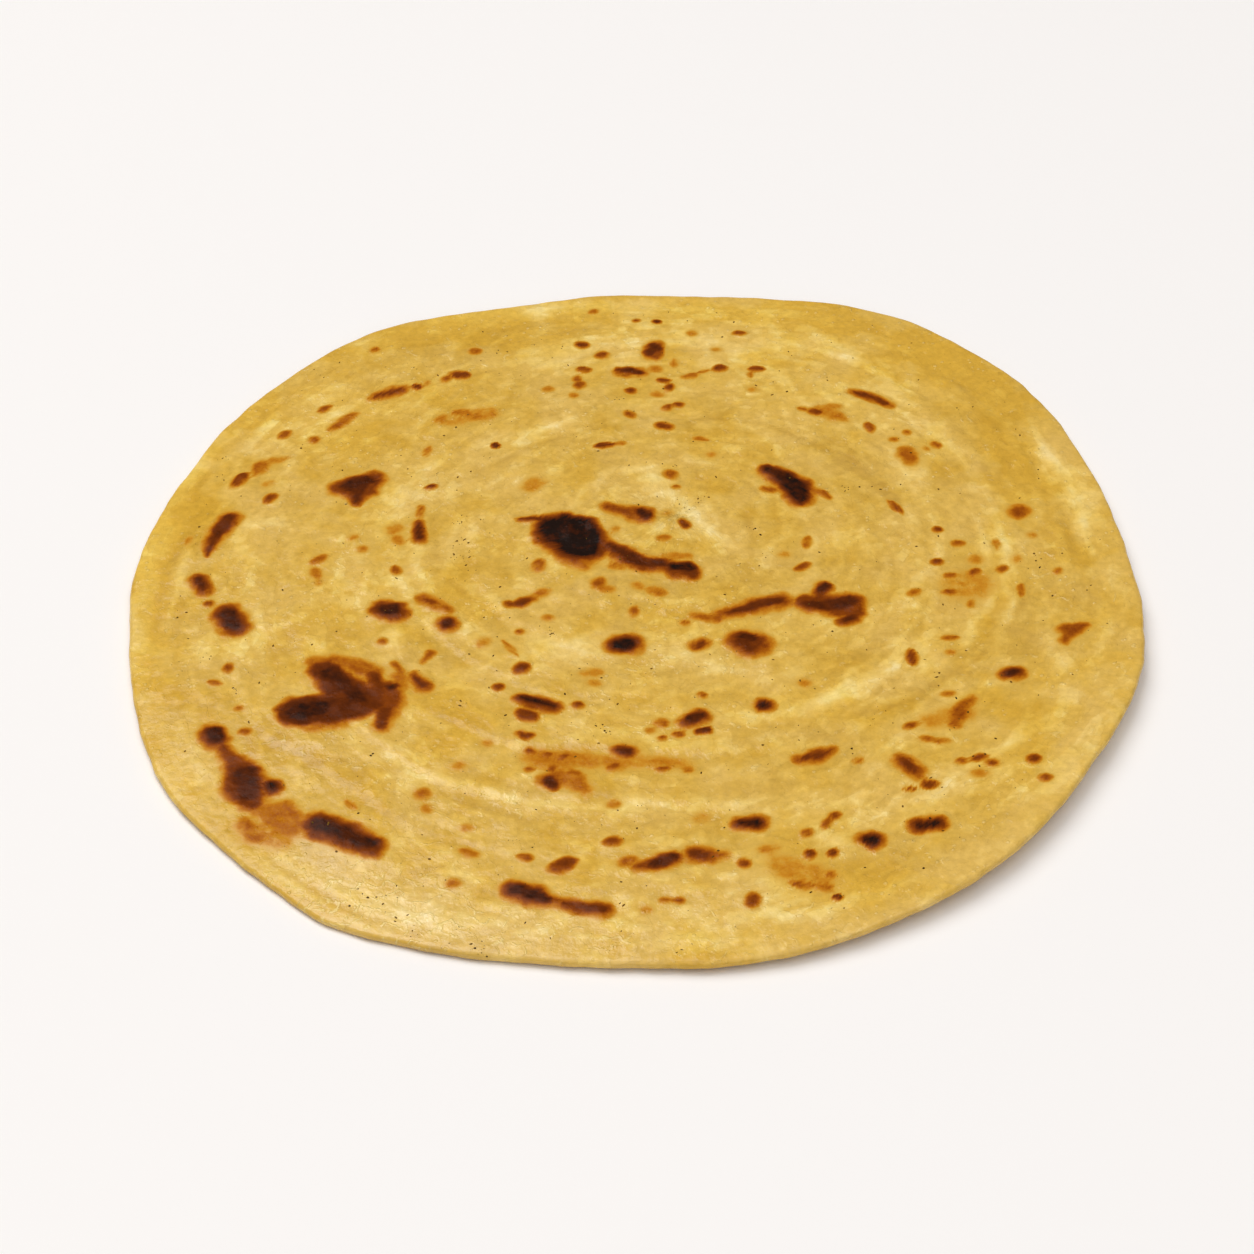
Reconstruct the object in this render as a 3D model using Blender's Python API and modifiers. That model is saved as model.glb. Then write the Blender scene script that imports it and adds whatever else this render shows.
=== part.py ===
"""Lachha paratha: a layered flatbread, griddled from a coiled and flattened rope of dough.

The bread is one solid. It lies on its flat middle at z = 0 and its rim lifts a little, most of all at the
near right (+X, -Y). Lengths are in metres, directions in degrees counter-clockwise from +X, and +Z is up.
"""

import math

import bmesh
import bpy

NAME = "paratha"

# The flattened disc.
RADIUS = 0.0988
MIDDLE_THICKNESS = 0.0036
RIM_THICKNESS = 0.0018

# Where the hand-rolled outline swells past RADIUS or falls short of it: direction, extra radius, half-width.
OUTLINE_SWELLINGS = (
    (50, 0.0094, 18),
    (62, 0.0010, 6),
    (95, 0.0014, 6),
    (122, 0.0042, 8),
    (138, 0.0032, 11),
    (176, 0.0013, 9),
    (213, 0.0034, 11),
    (238, 0.0034, 7),
    (267, -0.0020, 8),
    (330, -0.0012, 6),
    (348, 0.0009, 7),
)

# Where the rim stands off the table: direction, height, half-width. Inside FLAT_SHARE nothing lifts.
FLAT_SHARE = 0.58
RIM_LIFTS = (
    (-32, 0.0034, 32),
    (40, 0.0012, 30),
    (110, 0.0008, 26),
    (185, 0.0006, 24),
)

# The coil: its eye lies off the centre, and its turns run clockwise from there to the plain rim.
EYE = (0.0080, 0.0215)
TURNS = 9
TURN_HEIGHT = 0.0007
COIL_END_SHARE = 0.92

# The mesh: STEPS_PER_TURN rings to each turn of the coil keep a ring on every crease.
SEGMENTS = 96
STEPS_PER_TURN = 4
RIM_STEPS = 4
UNDERSIDE_STEPS = 8

DOUGH_COLOUR = (0.69, 0.42, 0.09, 1.0)
DOUGH_ROUGHNESS = 0.5


def clear_scene():
    for obj in list(bpy.data.objects):
        bpy.data.objects.remove(obj)


def smooth_step(value):
    """0 up to value 0, 1 from value 1, and an S-curve between."""
    value = min(max(value, 0.0), 1.0)
    return value * value * (3 - 2 * value)


def round_the_rim(direction, bumps):
    """The sum, in a direction in degrees, of bell-shaped bumps given as direction, height, half-width."""
    total = 0.0
    for centre, height, half_width in bumps:
        offset = (direction - centre + 180) % 360 - 180
        total += height * math.exp(-0.5 * (offset / half_width) ** 2)
    return total


def disc_profile():
    """The disc's half section as (x, z): out along the top, round the rim, and back in along the flat base."""
    bend = RIM_THICKNESS / 2
    flat_length = RADIUS - bend
    points = []
    top_steps = TURNS * STEPS_PER_TURN
    for step in range(top_steps):
        share = step / top_steps
        height = RIM_THICKNESS + (MIDDLE_THICKNESS - RIM_THICKNESS) * (1 - share**3)
        points.append((flat_length * share, height))
    for step in range(RIM_STEPS + 1):
        angle = math.pi * (0.5 - step / RIM_STEPS)
        points.append((flat_length + bend * math.cos(angle), bend + bend * math.sin(angle)))
    for step in range(1, UNDERSIDE_STEPS + 1):
        points.append((flat_length * (1 - step / UNDERSIDE_STEPS), 0.0))
    return points


def turned_disc(name, collection):
    """A new mesh object: the disc profile turned once round the Z axis."""
    mesh = bpy.data.meshes.new(name + "_profile")
    points = disc_profile()
    edges = [(index, index + 1) for index in range(len(points) - 1)]
    mesh.from_pydata([(x, 0.0, z) for x, z in points], edges, [])
    profile = bpy.data.objects.new(name + "_profile", mesh)
    collection.objects.link(profile)

    screw = profile.modifiers.new("Turn", "SCREW")
    screw.steps = SEGMENTS
    screw.render_steps = SEGMENTS
    screw.use_merge_vertices = True
    screw.merge_threshold = 0.00001

    graph = bpy.context.evaluated_depsgraph_get()
    disc = bpy.data.objects.new(name, bpy.data.meshes.new_from_object(profile.evaluated_get(graph)))
    disc.data.name = name
    collection.objects.link(disc)
    bpy.data.objects.remove(profile)
    bpy.data.meshes.remove(mesh)
    return disc


def turn_relief(share, direction):
    """How high the flattened rope's back stands above the crease beside it."""
    turns = TURNS * share + direction / 360
    fade = smooth_step((COIL_END_SHARE - share) / 0.1)
    return TURN_HEIGHT * fade * abs(math.sin(math.pi * turns)) ** 0.7


def rim_lift(share, direction):
    """How high the underside stands above the table."""
    raised = max(share - FLAT_SHARE, 0.0) / (1 - FLAT_SHARE)
    return raised**2 * round_the_rim(direction, RIM_LIFTS)


def shape_bread(disc):
    """Moves each point of the round disc to its place in the hand-rolled bread."""
    for vertex in disc.data.vertices:
        x, y, height = vertex.co
        share = math.hypot(x, y) / RADIUS
        angle = math.atan2(y, x)
        direction = math.degrees(angle)
        reach = share * (RADIUS + round_the_rim(direction, OUTLINE_SWELLINGS))
        vertex.co.x = EYE[0] * (1 - share) + reach * math.cos(angle)
        vertex.co.y = EYE[1] * (1 - share) + reach * math.sin(angle)
        on_top = height / MIDDLE_THICKNESS
        vertex.co.z = height + on_top * turn_relief(share, direction) + rim_lift(share, direction)


def centre_on_origin(disc):
    """Moves the bread so that the middle of its box is over the origin."""
    for axis in (0, 1):
        places = [vertex.co[axis] for vertex in disc.data.vertices]
        middle = (min(places) + max(places)) / 2
        for vertex in disc.data.vertices:
            vertex.co[axis] -= middle


def clean(disc):
    """Turns every face outwards and splits the quads, so that the solid has flat faces only."""
    mesh = bmesh.new()
    mesh.from_mesh(disc.data)
    bmesh.ops.recalc_face_normals(mesh, faces=mesh.faces)
    bmesh.ops.triangulate(mesh, faces=mesh.faces)
    mesh.to_mesh(disc.data)
    mesh.free()


def dough_material():
    material = bpy.data.materials.new("griddled_dough")
    material.use_nodes = True
    shader = material.node_tree.nodes["Principled BSDF"]
    shader.inputs["Base Color"].default_value = DOUGH_COLOUR
    shader.inputs["Roughness"].default_value = DOUGH_ROUGHNESS
    shader.inputs["Metallic"].default_value = 0.0
    return material


def main():
    clear_scene()
    collection = bpy.data.collections.new("lachha_paratha")
    bpy.context.scene.collection.children.link(collection)
    paratha = turned_disc(NAME, collection)
    shape_bread(paratha)
    centre_on_origin(paratha)
    clean(paratha)
    paratha.data.shade_smooth()
    paratha.data.materials.append(dough_material())


main()
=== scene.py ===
"""Looks of the lachha paratha: its fine surface, griddle marks, specks, floor, light and camera.

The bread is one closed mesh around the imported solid. Its outline and the lift of its rim are read from that
solid, and the coil, blisters, wrinkles and rim layers are added to it as real relief. What the griddle and
the fat did to each point of the surface is worked out here and stored on the mesh as attributes, and the
material turns them into colour, gloss and fine grain. Lengths are in metres, and lists of marks are in
millimetres, in the frame of the solid: +X right, +Y away from the camera, +Z up.
"""

import math

import bpy
import numpy as np
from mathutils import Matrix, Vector
from mathutils.bvhtree import BVHTree


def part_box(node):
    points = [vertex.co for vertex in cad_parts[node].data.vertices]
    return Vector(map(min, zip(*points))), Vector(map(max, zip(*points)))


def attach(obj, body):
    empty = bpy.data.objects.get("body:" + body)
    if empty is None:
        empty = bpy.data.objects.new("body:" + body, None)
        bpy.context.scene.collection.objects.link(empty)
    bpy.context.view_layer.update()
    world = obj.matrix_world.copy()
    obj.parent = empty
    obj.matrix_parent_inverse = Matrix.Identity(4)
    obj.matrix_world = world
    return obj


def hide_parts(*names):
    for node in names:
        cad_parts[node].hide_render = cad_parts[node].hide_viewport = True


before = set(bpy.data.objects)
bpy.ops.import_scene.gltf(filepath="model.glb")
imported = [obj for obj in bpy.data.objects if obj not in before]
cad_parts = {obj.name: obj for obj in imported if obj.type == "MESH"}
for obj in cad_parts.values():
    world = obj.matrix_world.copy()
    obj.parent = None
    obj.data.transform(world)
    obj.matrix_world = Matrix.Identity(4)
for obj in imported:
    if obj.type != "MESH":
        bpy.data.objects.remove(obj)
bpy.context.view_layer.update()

NODE = "paratha"
MM = 0.001

# The bread's build, as in the solid.
EYE = np.array((0.0084, 0.0198))
TURNS = 9
COIL_END_SHARE = 0.92
FLAT_SHARE = 0.58
MIDDLE_THICKNESS = 0.0036
RIM_THICKNESS = 0.0018
RIM_BEND = RIM_THICKNESS / 2

# Mesh density: cells along one side of the top's grid and of the underside's, and rows round the rim.
TOP_CELLS = 260
LOW_CELLS = TOP_CELLS // 2
RIM_ROWS = 5

# How the solid's rim is read: directions, heights tried in each, and how far inside its box they stay.
OUTLINE_STEPS = 240
RIM_LEVELS = 60
LEVEL_MARGIN = 0.05 * MM

# Relief heights.
TURN_HEIGHT = 0.00030
LAYER_HEIGHT = 0.00005
FLAKE_HEIGHT = 0.00008
BLISTER_HEIGHT = 0.00034
WRINKLE_HEIGHT = 0.00007
RIM_LAYER_HEIGHT = 0.00010
UNDERSIDE_DIMPLE = 0.00010

# The lists of marks, tones and folds are in millimetres from this point of the solid's frame.
LIST_CENTRE = (0.4, -1.7)

# Camera: height angle in degrees, distance, lens in millimetres, and the point that it is aimed at.
CAMERA_ELEVATION = 42.0
CAMERA_DISTANCE = 0.5833
CAMERA_LENS = 85.0
CAMERA_AIM = Vector((-0.0012, -0.0092, 0.0))


# ---------------------------------------------------------------- small maths

def smooth_step(value):
    value = np.clip(value, 0.0, 1.0)
    return value * value * (3 - 2 * value)


class Noise:
    """Gradient noise over the plane: smooth, about -1 to 1, with features one cell across."""

    SIZE = 256

    def __init__(self, seed):
        angles = np.random.default_rng(seed).uniform(0, 2 * math.pi, (self.SIZE, self.SIZE))
        self.slope_x = np.cos(angles)
        self.slope_y = np.sin(angles)

    def __call__(self, x, y, cell):
        u = x / cell + 31.7
        v = y / cell + 17.3
        left = np.floor(u).astype(int)
        low = np.floor(v).astype(int)
        u = u - left
        v = v - low
        fade_u = u**3 * (u * (u * 6 - 15) + 10)
        fade_v = v**3 * (v * (v * 6 - 15) + 10)

        def corner(across, up):
            i = (left + across) % self.SIZE
            j = (low + up) % self.SIZE
            return self.slope_x[i, j] * (u - across) + self.slope_y[i, j] * (v - up)

        near = corner(0, 0) * (1 - fade_u) + corner(1, 0) * fade_u
        far = corner(0, 1) * (1 - fade_u) + corner(1, 1) * fade_u
        return (near * (1 - fade_v) + far * fade_v) * 1.5


# ---------------------------------------------------------------- the bread's outline and coil

def surface_tree(mesh):
    """The mesh's faces, made ready for finding where a ray meets them."""
    corners = [vertex.co for vertex in mesh.vertices]
    return BVHTree.FromPolygons(corners, [polygon.vertices for polygon in mesh.polygons])


def read_rim(node):
    """The solid's rim in OUTLINE_STEPS directions: how far out it is, and how high its middle stands."""
    tree = surface_tree(node.data)
    low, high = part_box(NODE)
    heights = np.linspace(low.z + LEVEL_MARGIN, high.z - LEVEL_MARGIN, RIM_LEVELS)
    start = 2 * max(high.x, high.y)
    reach = np.zeros(OUTLINE_STEPS)
    height = np.zeros(OUTLINE_STEPS)
    for step in range(OUTLINE_STEPS):
        angle = 2 * math.pi * step / OUTLINE_STEPS
        inwards = Vector((-math.cos(angle), -math.sin(angle), 0))
        for level in heights:
            hit = tree.ray_cast(Vector((0, 0, level)) - inwards * start, inwards)[0]
            # A ray above this side's rim can pass over the bread and meet the lifted rim opposite.
            if hit is None or hit.dot(inwards) > 0:
                continue
            distance = math.hypot(hit.x, hit.y)
            if distance > reach[step]:
                reach[step] = distance
                height[step] = level
    return ease_loop(reach), ease_loop(height)


def ease_loop(values):
    """Rounds off the solid's facets: a running mean round a closed loop."""
    for _ in range(3):
        values = (np.roll(values, 1) + 2 * values + np.roll(values, -1)) / 4
    return values


def round_lookup(values, angle):
    """A value between those of a closed loop, at each angle."""
    turn = np.mod(angle, 2 * math.pi) / (2 * math.pi) * len(values)
    return np.interp(turn, np.arange(len(values) + 1), np.append(values, values[0]))


RIM_REACH, RIM_HEIGHT = read_rim(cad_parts[NODE])
RIM_LIFT = np.maximum(RIM_HEIGHT - RIM_BEND, 0.0)
MEAN_REACH = float(RIM_REACH.mean())


class Place:
    """Where points lie on the bread: in the plane, and along the coil that was flattened to make it."""

    def __init__(self, x, y):
        self.x = x
        self.y = y
        self.list_x = x / MM - LIST_CENTRE[0]
        self.list_y = y / MM - LIST_CENTRE[1]
        stretch = MEAN_REACH / round_lookup(RIM_REACH, np.arctan2(y, x))
        from_eye = np.stack([x * stretch - EYE[0], y * stretch - EYE[1]], axis=-1)
        along = from_eye @ EYE
        span = MEAN_REACH**2 - EYE @ EYE
        square = (from_eye**2).sum(axis=-1)
        self.share = (along + np.sqrt(along**2 + span * square)) / span
        centre = EYE * (1 - self.share[..., None])
        out = from_eye + EYE - centre
        self.angle = np.arctan2(out[..., 1], out[..., 0])

    def shifted(self, distance):
        """The plane positions a distance along the coil from these."""
        return self.x - distance * np.sin(self.angle), self.y + distance * np.cos(self.angle)


def streaks(place, noise, cell, length):
    """Noise drawn out along the coil."""
    total = 0.0
    steps = np.linspace(-0.5, 0.5, 9)
    for step in steps:
        total = total + noise(*place.shifted(step * length), cell)
    return total / math.sqrt(len(steps))


WARP = Noise(1)
FADE = Noise(2)
HILLS = Noise(3)
LUMPS = Noise(4)
GRAIN = Noise(5)
STREAK = Noise(6)
PATCH = Noise(7)
FRAY = Noise(8)
RIPPLE = Noise(9)


def turn_count(place):
    """How many turns of the coil lie between the eye and each point, with the unevenness of hand rolling."""
    wander = 0.22 * WARP(place.x, place.y, 34 * MM) + 0.07 * WARP(place.y, place.x, 11 * MM)
    return TURNS * place.share + place.angle / (2 * math.pi) + wander


def rim_lift(place):
    raised = np.maximum(place.share - FLAT_SHARE, 0.0) / (1 - FLAT_SHARE)
    return raised**2 * round_lookup(RIM_LIFT, place.angle)


def coil_relief(place):
    """The overlapping turns: each rises slowly outwards and ends in a low step."""
    turn = np.mod(turn_count(place), 1.0)
    rise = smooth_step(turn / 0.86) - smooth_step((turn - 0.86) / 0.14)
    depth = np.clip(0.55 + 0.7 * FADE(place.x, place.y, 26 * MM), 0.12, 1.0)
    layer = np.mod(3 * turn_count(place) + 0.4 * WARP(place.y, place.x, 9 * MM), 1.0)
    layer_rise = smooth_step(layer / 0.8) - smooth_step((layer - 0.8) / 0.2)
    fade = smooth_step((COIL_END_SHARE - place.share) / 0.08)
    return fade * (TURN_HEIGHT * depth * rise + LAYER_HEIGHT * layer_rise)


def dough_relief(place):
    """Swells and lumps left by hand pressing."""
    x, y = place.x, place.y
    return (
        0.00034 * HILLS(x, y, 46 * MM)
        + 0.00022 * HILLS(y, x, 19 * MM)
        + 0.00010 * LUMPS(x, y, 7.5 * MM)
        + 0.00005 * LUMPS(y, x, 3.2 * MM)
        + 0.00005 * streaks(place, STREAK, 1.6 * MM, 6 * MM)
    )


# ---------------------------------------------------------------- griddle marks

# The larger marks, as strokes of changing width: heat (1 is charred black), then x, y and half-width
# at points along it.
TOAST_STROKES = (
    # the large char near the coil's eye, with its tip, its halo and its tail
    (1.00, ((-15.4, 17.4, 4.6), (-12.0, 16.6, 5.2), (-11.0, 13.4, 4.8))),
    (1.00, ((-14.0, 20.4, 2.6), (-12.0, 18.0, 2.6))),
    (0.72, ((-17.4, 20.4, 1.7), (-20.0, 20.9, 0.9), (-23.6, 21.2, 0.4))),
    (0.66, ((-14.8, 17.0, 5.8), (-11.2, 13.4, 6.0))),
    (0.36, ((-13.0, 9.4, 2.6), (-10.0, 8.0, 2.4))),
    (0.80, ((-5.4, 12.8, 1.1), (-3.2, 11.2, 1.5), (-0.6, 8.6, 1.9), (2.6, 6.9, 1.7), (5.6, 7.0, 1.4))),
    (0.50, ((-5.4, 11.8, 2.0), (-2.0, 9.4, 2.4), (2.2, 6.6, 2.4), (6.0, 6.4, 2.2))),
    (0.98, ((7.6, 6.0, 1.5), (10.6, 5.9, 1.8))),
    (0.62, ((8.4, 5.2, 2.6), (11.0, 4.2, 2.2))),
    (0.26, ((5.8, 9.2, 0.7), (10.4, 9.4, 0.8))),
    (0.30, ((-4.2, 6.6, 0.9), (-2.6, 6.0, 0.8))),
    # the streak beyond it
    (0.50, ((-6.0, 24.8, 1.0), (-3.0, 23.6, 1.6), (0.2, 22.5, 2.3), (1.8, 22.2, 2.4))),
    (0.84, ((1.2, 23.0, 1.3), (2.2, 21.8, 1.5))),
    (0.70, ((9.5, 20.6, 0.5), (10.4, 19.0, 0.8))),
    # the dark comma at the upper right
    (0.94, ((27.4, 36.8, 1.4), (30.4, 35.0, 2.1), (33.0, 31.6, 3.1), (34.0, 28.2, 2.3), (34.0, 26.0, 0.9))),
    (0.58, ((27.4, 36.6, 1.8), (30.4, 34.8, 2.6), (33.2, 31.4, 3.5), (34.0, 27.8, 2.7))),
    (0.46, ((36.0, 30.8, 0.9), (38.4, 29.8, 0.8), (39.8, 28.0, 0.4))),
    (0.48, ((26.6, 31.0, 0.7), (28.0, 30.4, 0.8))),
    # the triangle at the upper left
    (0.86, ((-60.4, 31.8, 1.2), (-57.4, 33.0, 2.4), (-54.6, 34.2, 1.6))),
    (0.84, ((-56.6, 31.6, 2.4), (-57.2, 27.6, 1.4))),
    (0.60, ((-61.0, 31.4, 2.0), (-56.8, 31.8, 4.0), (-53.8, 34.6, 2.2))),
    (0.84, ((-58.6, 31.8, 2.0), (-55.8, 33.6, 2.2))),
    # the left rim
    (0.74, ((-82.6, 22.0, 1.6), (-84.2, 18.6, 1.6), (-85.4, 14.0, 0.9), (-86.0, 10.6, 0.4))),
    (0.46, ((-82.4, 22.0, 2.3), (-84.4, 18.0, 2.2), (-85.6, 13.4, 1.4))),
    (0.80, ((-86.8, 3.0, 1.2), (-85.8, 0.6, 1.2))),
    (0.50, ((-87.0, 3.2, 1.9), (-85.4, 0.2, 1.8))),
    (0.88, ((-79.9, -7.6, 2.3), (-78.6, -10.4, 2.3))),
    (0.56, ((-80.2, -7.2, 3.1), (-78.2, -10.8, 3.0))),
    # the upright dash left of the middle
    (0.86, ((-43.9, 19.2, 0.7), (-43.5, 15.4, 0.9))),
    (0.50, ((-44.0, 20.0, 1.1), (-43.4, 15.0, 1.3))),
    (0.42, ((-43.8, 25.2, 0.6), (-43.8, 22.6, 0.6))),
    # the streaks at the far left
    (0.72, ((-55.6, 62.2, 0.5), (-52.6, 63.6, 1.0), (-49.8, 65.0, 0.7))),
    (0.44, ((-56.4, 61.8, 0.7), (-52.6, 63.6, 1.6), (-49.4, 65.2, 1.1))),
    (0.40, ((-64.0, 51.8, 0.6), (-61.8, 54.2, 1.2), (-59.4, 56.8, 0.6))),
    # the far middle
    (0.80, ((4.0, 80.6, 1.0), (4.9, 79.2, 1.3), (3.2, 77.6, 1.2))),
    (0.50, ((4.4, 80.4, 1.8), (4.0, 77.4, 2.0))),
    (0.80, ((-3.2, 72.0, 0.7), (-0.6, 71.4, 1.1), (1.4, 70.6, 0.8))),
    (0.40, ((-3.4, 70.8, 1.2), (1.2, 70.8, 1.6))),
    # the dash at the upper right
    (0.78, ((46.8, 63.6, 0.5), (50.4, 62.0, 0.9), (53.6, 59.6, 0.8))),
    (0.44, ((46.2, 63.8, 0.8), (50.6, 61.8, 1.5), (54.2, 59.2, 1.1))),
    # the pair right of the middle
    (0.72, ((28.8, -4.0, 1.2), (25.4, -4.8, 1.4), (21.0, -6.4, 1.1), (18.0, -7.6, 0.6))),
    (0.44, ((29.0, -4.0, 2.2), (25.4, -4.9, 2.3), (20.6, -6.6, 1.9), (16.8, -7.8, 1.2))),
    (0.44, ((16.2, -9.4, 0.9), (13.4, -8.8, 0.9), (11.4, -8.1, 0.8))),
    (0.82, ((33.4, -4.8, 1.1), (37.4, -5.3, 2.0), (42.0, -4.4, 2.2))),
    (0.58, ((33.4, -4.4, 2.0), (38.0, -4.9, 3.1), (42.2, -5.2, 3.3))),
    (0.60, ((39.5, -7.0, 1.6), (43.6, -7.2, 1.6))),
    (0.84, ((42.6, -8.8, 0.9), (40.8, -10.0, 0.8))),
    (0.54, ((43.0, -8.8, 1.4), (40.6, -9.9, 1.4))),
    (0.86, ((37.7, 0.4, 1.2), (36.8, -0.4, 1.2))),
    (0.60, ((37.4, 0.2, 1.8), (36.4, -2.2, 1.4))),
    (0.72, ((20.6, -15.6, 2.1), (23.4, -16.2, 2.2), (22.2, -17.6, 1.8))),
    (0.90, ((21.0, -14.6, 1.3), (22.4, -14.8, 1.4))),
    (0.48, ((20.4, -15.8, 3.0), (23.8, -16.4, 3.0), (22.0, -18.0, 2.3))),
    (0.74, ((13.0, -16.4, 1.0), (12.4, -17.0, 1.0))),
    (0.46, ((13.0, -16.4, 1.5), (11.6, -17.2, 1.3))),
    (0.97, ((-3.2, -17.0, 1.7), (-1.4, -16.8, 2.1))),
    (0.62, ((-3.4, -17.0, 2.5), (-1.2, -16.8, 2.9))),
    # the great patch at the near left
    (0.86, ((-58.6, -24.4, 2.4), (-55.6, -28.4, 2.6), (-52.2, -32.4, 2.2))),
    (0.72, ((-60.0, -23.8, 2.8), (-56.2, -28.8, 3.8), (-51.0, -33.0, 3.6))),
    (0.91, ((-64.2, -35.6, 2.7), (-60.2, -34.6, 2.9))),
    (0.78, ((-64.2, -35.4, 3.8), (-58.4, -35.0, 4.2), (-53.0, -34.6, 3.0))),
    (0.36, ((-62.6, -21.4, 0.9), (-57.6, -20.8, 1.4), (-52.8, -23.0, 2.0), (-50.4, -24.4, 2.0))),
    (0.64, ((-50.2, -25.4, 1.4), (-49.4, -28.8, 2.0), (-49.4, -32.6, 2.4))),
    (0.86, ((-47.0, -29.2, 0.9), (-46.0, -28.8, 1.0))),
    (0.56, ((-47.2, -29.6, 2.8), (-46.8, -33.4, 2.6))),
    (0.66, ((-47.4, -35.6, 1.8), (-48.0, -39.2, 1.4))),
    (0.42, ((-46.6, -35.4, 1.9), (-47.8, -39.4, 1.7))),
    (0.42, ((-46.4, -22.0, 0.6), (-45.0, -24.6, 0.6))),
    (0.30, ((-45.4, -25.6, 1.6), (-44.6, -28.6, 1.0))),
    (0.76, ((-42.0, -26.4, 0.7), (-40.6, -28.4, 1.1))),
    (0.46, ((-42.4, -25.6, 1.0), (-40.4, -28.6, 1.8))),
    (0.46, ((-39.5, -18.9, 0.8), (-41.0, -21.4, 0.4))),
    (0.32, ((-61.0, -39.6, 1.2), (-55.4, -38.4, 1.4))),
    # the round blister behind it, and the spots to its right
    (0.90, ((-49.4, -6.4, 1.8), (-47.6, -6.8, 2.0))),
    (0.58, ((-49.6, -6.2, 2.6), (-47.2, -7.2, 2.8))),
    (0.62, ((-41.4, -3.4, 0.8), (-39.6, -4.6, 0.8))),
    (0.36, ((-41.8, -3.2, 1.4), (-38.8, -5.4, 1.4), (-36.4, -6.8, 0.9))),
    (0.84, ((-36.8, -10.8, 1.5),)),
    (0.52, ((-36.6, -10.9, 2.2),)),
    # the chain along the near left rim
    (0.94, ((-79.2, -40.6, 1.9), (-78.6, -42.0, 1.9))),
    (0.62, ((-79.6, -41.0, 2.7), (-78.6, -42.4, 2.4))),
    (0.56, ((-77.4, -44.2, 1.2), (-75.8, -47.2, 1.8), (-74.0, -49.6, 2.6))),
    (0.86, ((-72.4, -51.6, 2.8), (-71.4, -56.0, 2.8))),
    (0.62, ((-73.2, -50.6, 3.0), (-72.2, -54.4, 4.2), (-70.6, -58.6, 2.2))),
    (0.92, ((-67.0, -54.8, 1.4),)),
    (0.62, ((-67.2, -54.8, 2.2),)),
    (0.34, ((-69.0, -60.0, 1.8), (-65.0, -61.8, 3.2), (-62.6, -64.6, 2.6))),
    (0.20, ((-69.0, -66.0, 2.4), (-64.4, -66.6, 2.8))),
    (0.48, ((-70.4, -64.8, 1.0),)),
    (0.32, ((-71.4, -64.0, 1.6), (-68.8, -66.8, 1.8))),
    (0.90, ((-58.0, -64.4, 2.0), (-53.0, -66.9, 2.1), (-47.8, -69.5, 1.8))),
    (0.64, ((-58.0, -64.6, 3.0), (-52.6, -67.2, 3.2), (-47.6, -70.0, 2.7))),
    (0.30, ((-61.6, -64.6, 1.8),)),
    # the near side and the near middle
    (0.90, ((-22.0, -80.4, 1.4), (-18.4, -81.8, 1.8), (-15.6, -83.0, 1.0))),
    (0.58, ((-22.4, -80.2, 2.0), (-18.4, -81.8, 2.5), (-15.2, -83.2, 1.4))),
    (0.78, ((-12.8, -84.0, 0.8), (-8.4, -85.2, 0.9), (-6.0, -85.6, 1.2))),
    (0.50, ((-14.0, -83.6, 1.2), (-9.0, -85.2, 1.4), (-5.8, -85.6, 1.8))),
    (0.98, ((51.6, -66.0, 1.2), (54.4, -65.4, 1.3))),
    (0.60, ((50.8, -66.0, 1.6), (54.8, -65.4, 2.0))),
    (0.97, ((41.9, -69.2, 1.4), (42.9, -69.4, 1.5))),
    (0.60, ((41.8, -69.2, 1.9), (43.0, -69.4, 2.1))),
    (0.94, ((19.4, -64.8, 1.2), (21.8, -64.6, 1.5))),
    (0.58, ((18.8, -64.8, 1.6), (22.2, -64.6, 2.0))),
    (0.74, ((31.4, -47.8, 0.9), (33.4, -47.4, 1.2), (36.0, -46.4, 0.8))),
    (0.46, ((30.6, -48.0, 1.3), (33.6, -47.4, 1.8), (36.6, -45.8, 1.1))),
    (0.62, ((49.8, -49.0, 1.2), (51.4, -51.2, 1.4))),
    (0.40, ((49.4, -48.6, 1.8), (51.8, -51.6, 2.0))),
    (0.90, ((-21.4, -32.0, 0.8), (-19.2, -32.8, 1.0), (-15.6, -34.2, 0.9))),
    (0.60, ((-21.8, -32.2, 1.4), (-19.0, -33.4, 2.0), (-15.4, -34.4, 1.6))),
    (0.60, ((-21.2, -36.2, 1.4), (-19.8, -37.0, 1.4))),
    (0.90, ((10.6, -37.6, 1.3), (12.2, -36.8, 1.4))),
    (0.56, ((9.2, -38.4, 1.4), (12.2, -37.0, 2.1))),
    (0.80, ((11.8, -41.0, 0.7), (13.6, -40.6, 0.8))),
    (0.84, ((2.8, -75.0, 0.9), (5.0, -74.2, 1.5), (6.8, -73.4, 1.3))),
    (0.50, ((0.2, -75.6, 0.8), (4.4, -74.6, 1.8), (6.8, -73.4, 1.7))),
    (0.66, ((10.6, -72.4, 1.4), (12.4, -72.8, 1.4))),
    (0.42, ((10.6, -72.3, 2.0), (13.2, -72.8, 1.8), (15.8, -72.6, 0.9))),
    (0.84, ((-16.0, -53.8, 1.2), (-15.4, -54.8, 1.2))),
    (0.46, ((-16.2, -53.8, 1.9),)),
    (0.30, ((-14.4, -52.6, 2.0), (-11.0, -53.6, 2.0), (-9.4, -56.2, 1.2))),
    (0.25, ((-19.4, -47.4, 1.6), (-14.6, -48.4, 2.9), (-10.4, -48.0, 2.2))),
    (0.20, ((-9.6, -48.4, 1.7), (-3.0, -49.4, 1.5))),
    (0.17, ((-1.0, -49.0, 1.2), (4.0, -48.8, 1.4), (9.2, -49.6, 1.2))),
    # the right side
    (0.84, ((71.6, -25.2, 1.0), (73.2, -24.8, 1.1))),
    (0.54, ((71.2, -25.2, 1.6), (73.4, -24.8, 1.7))),
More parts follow.
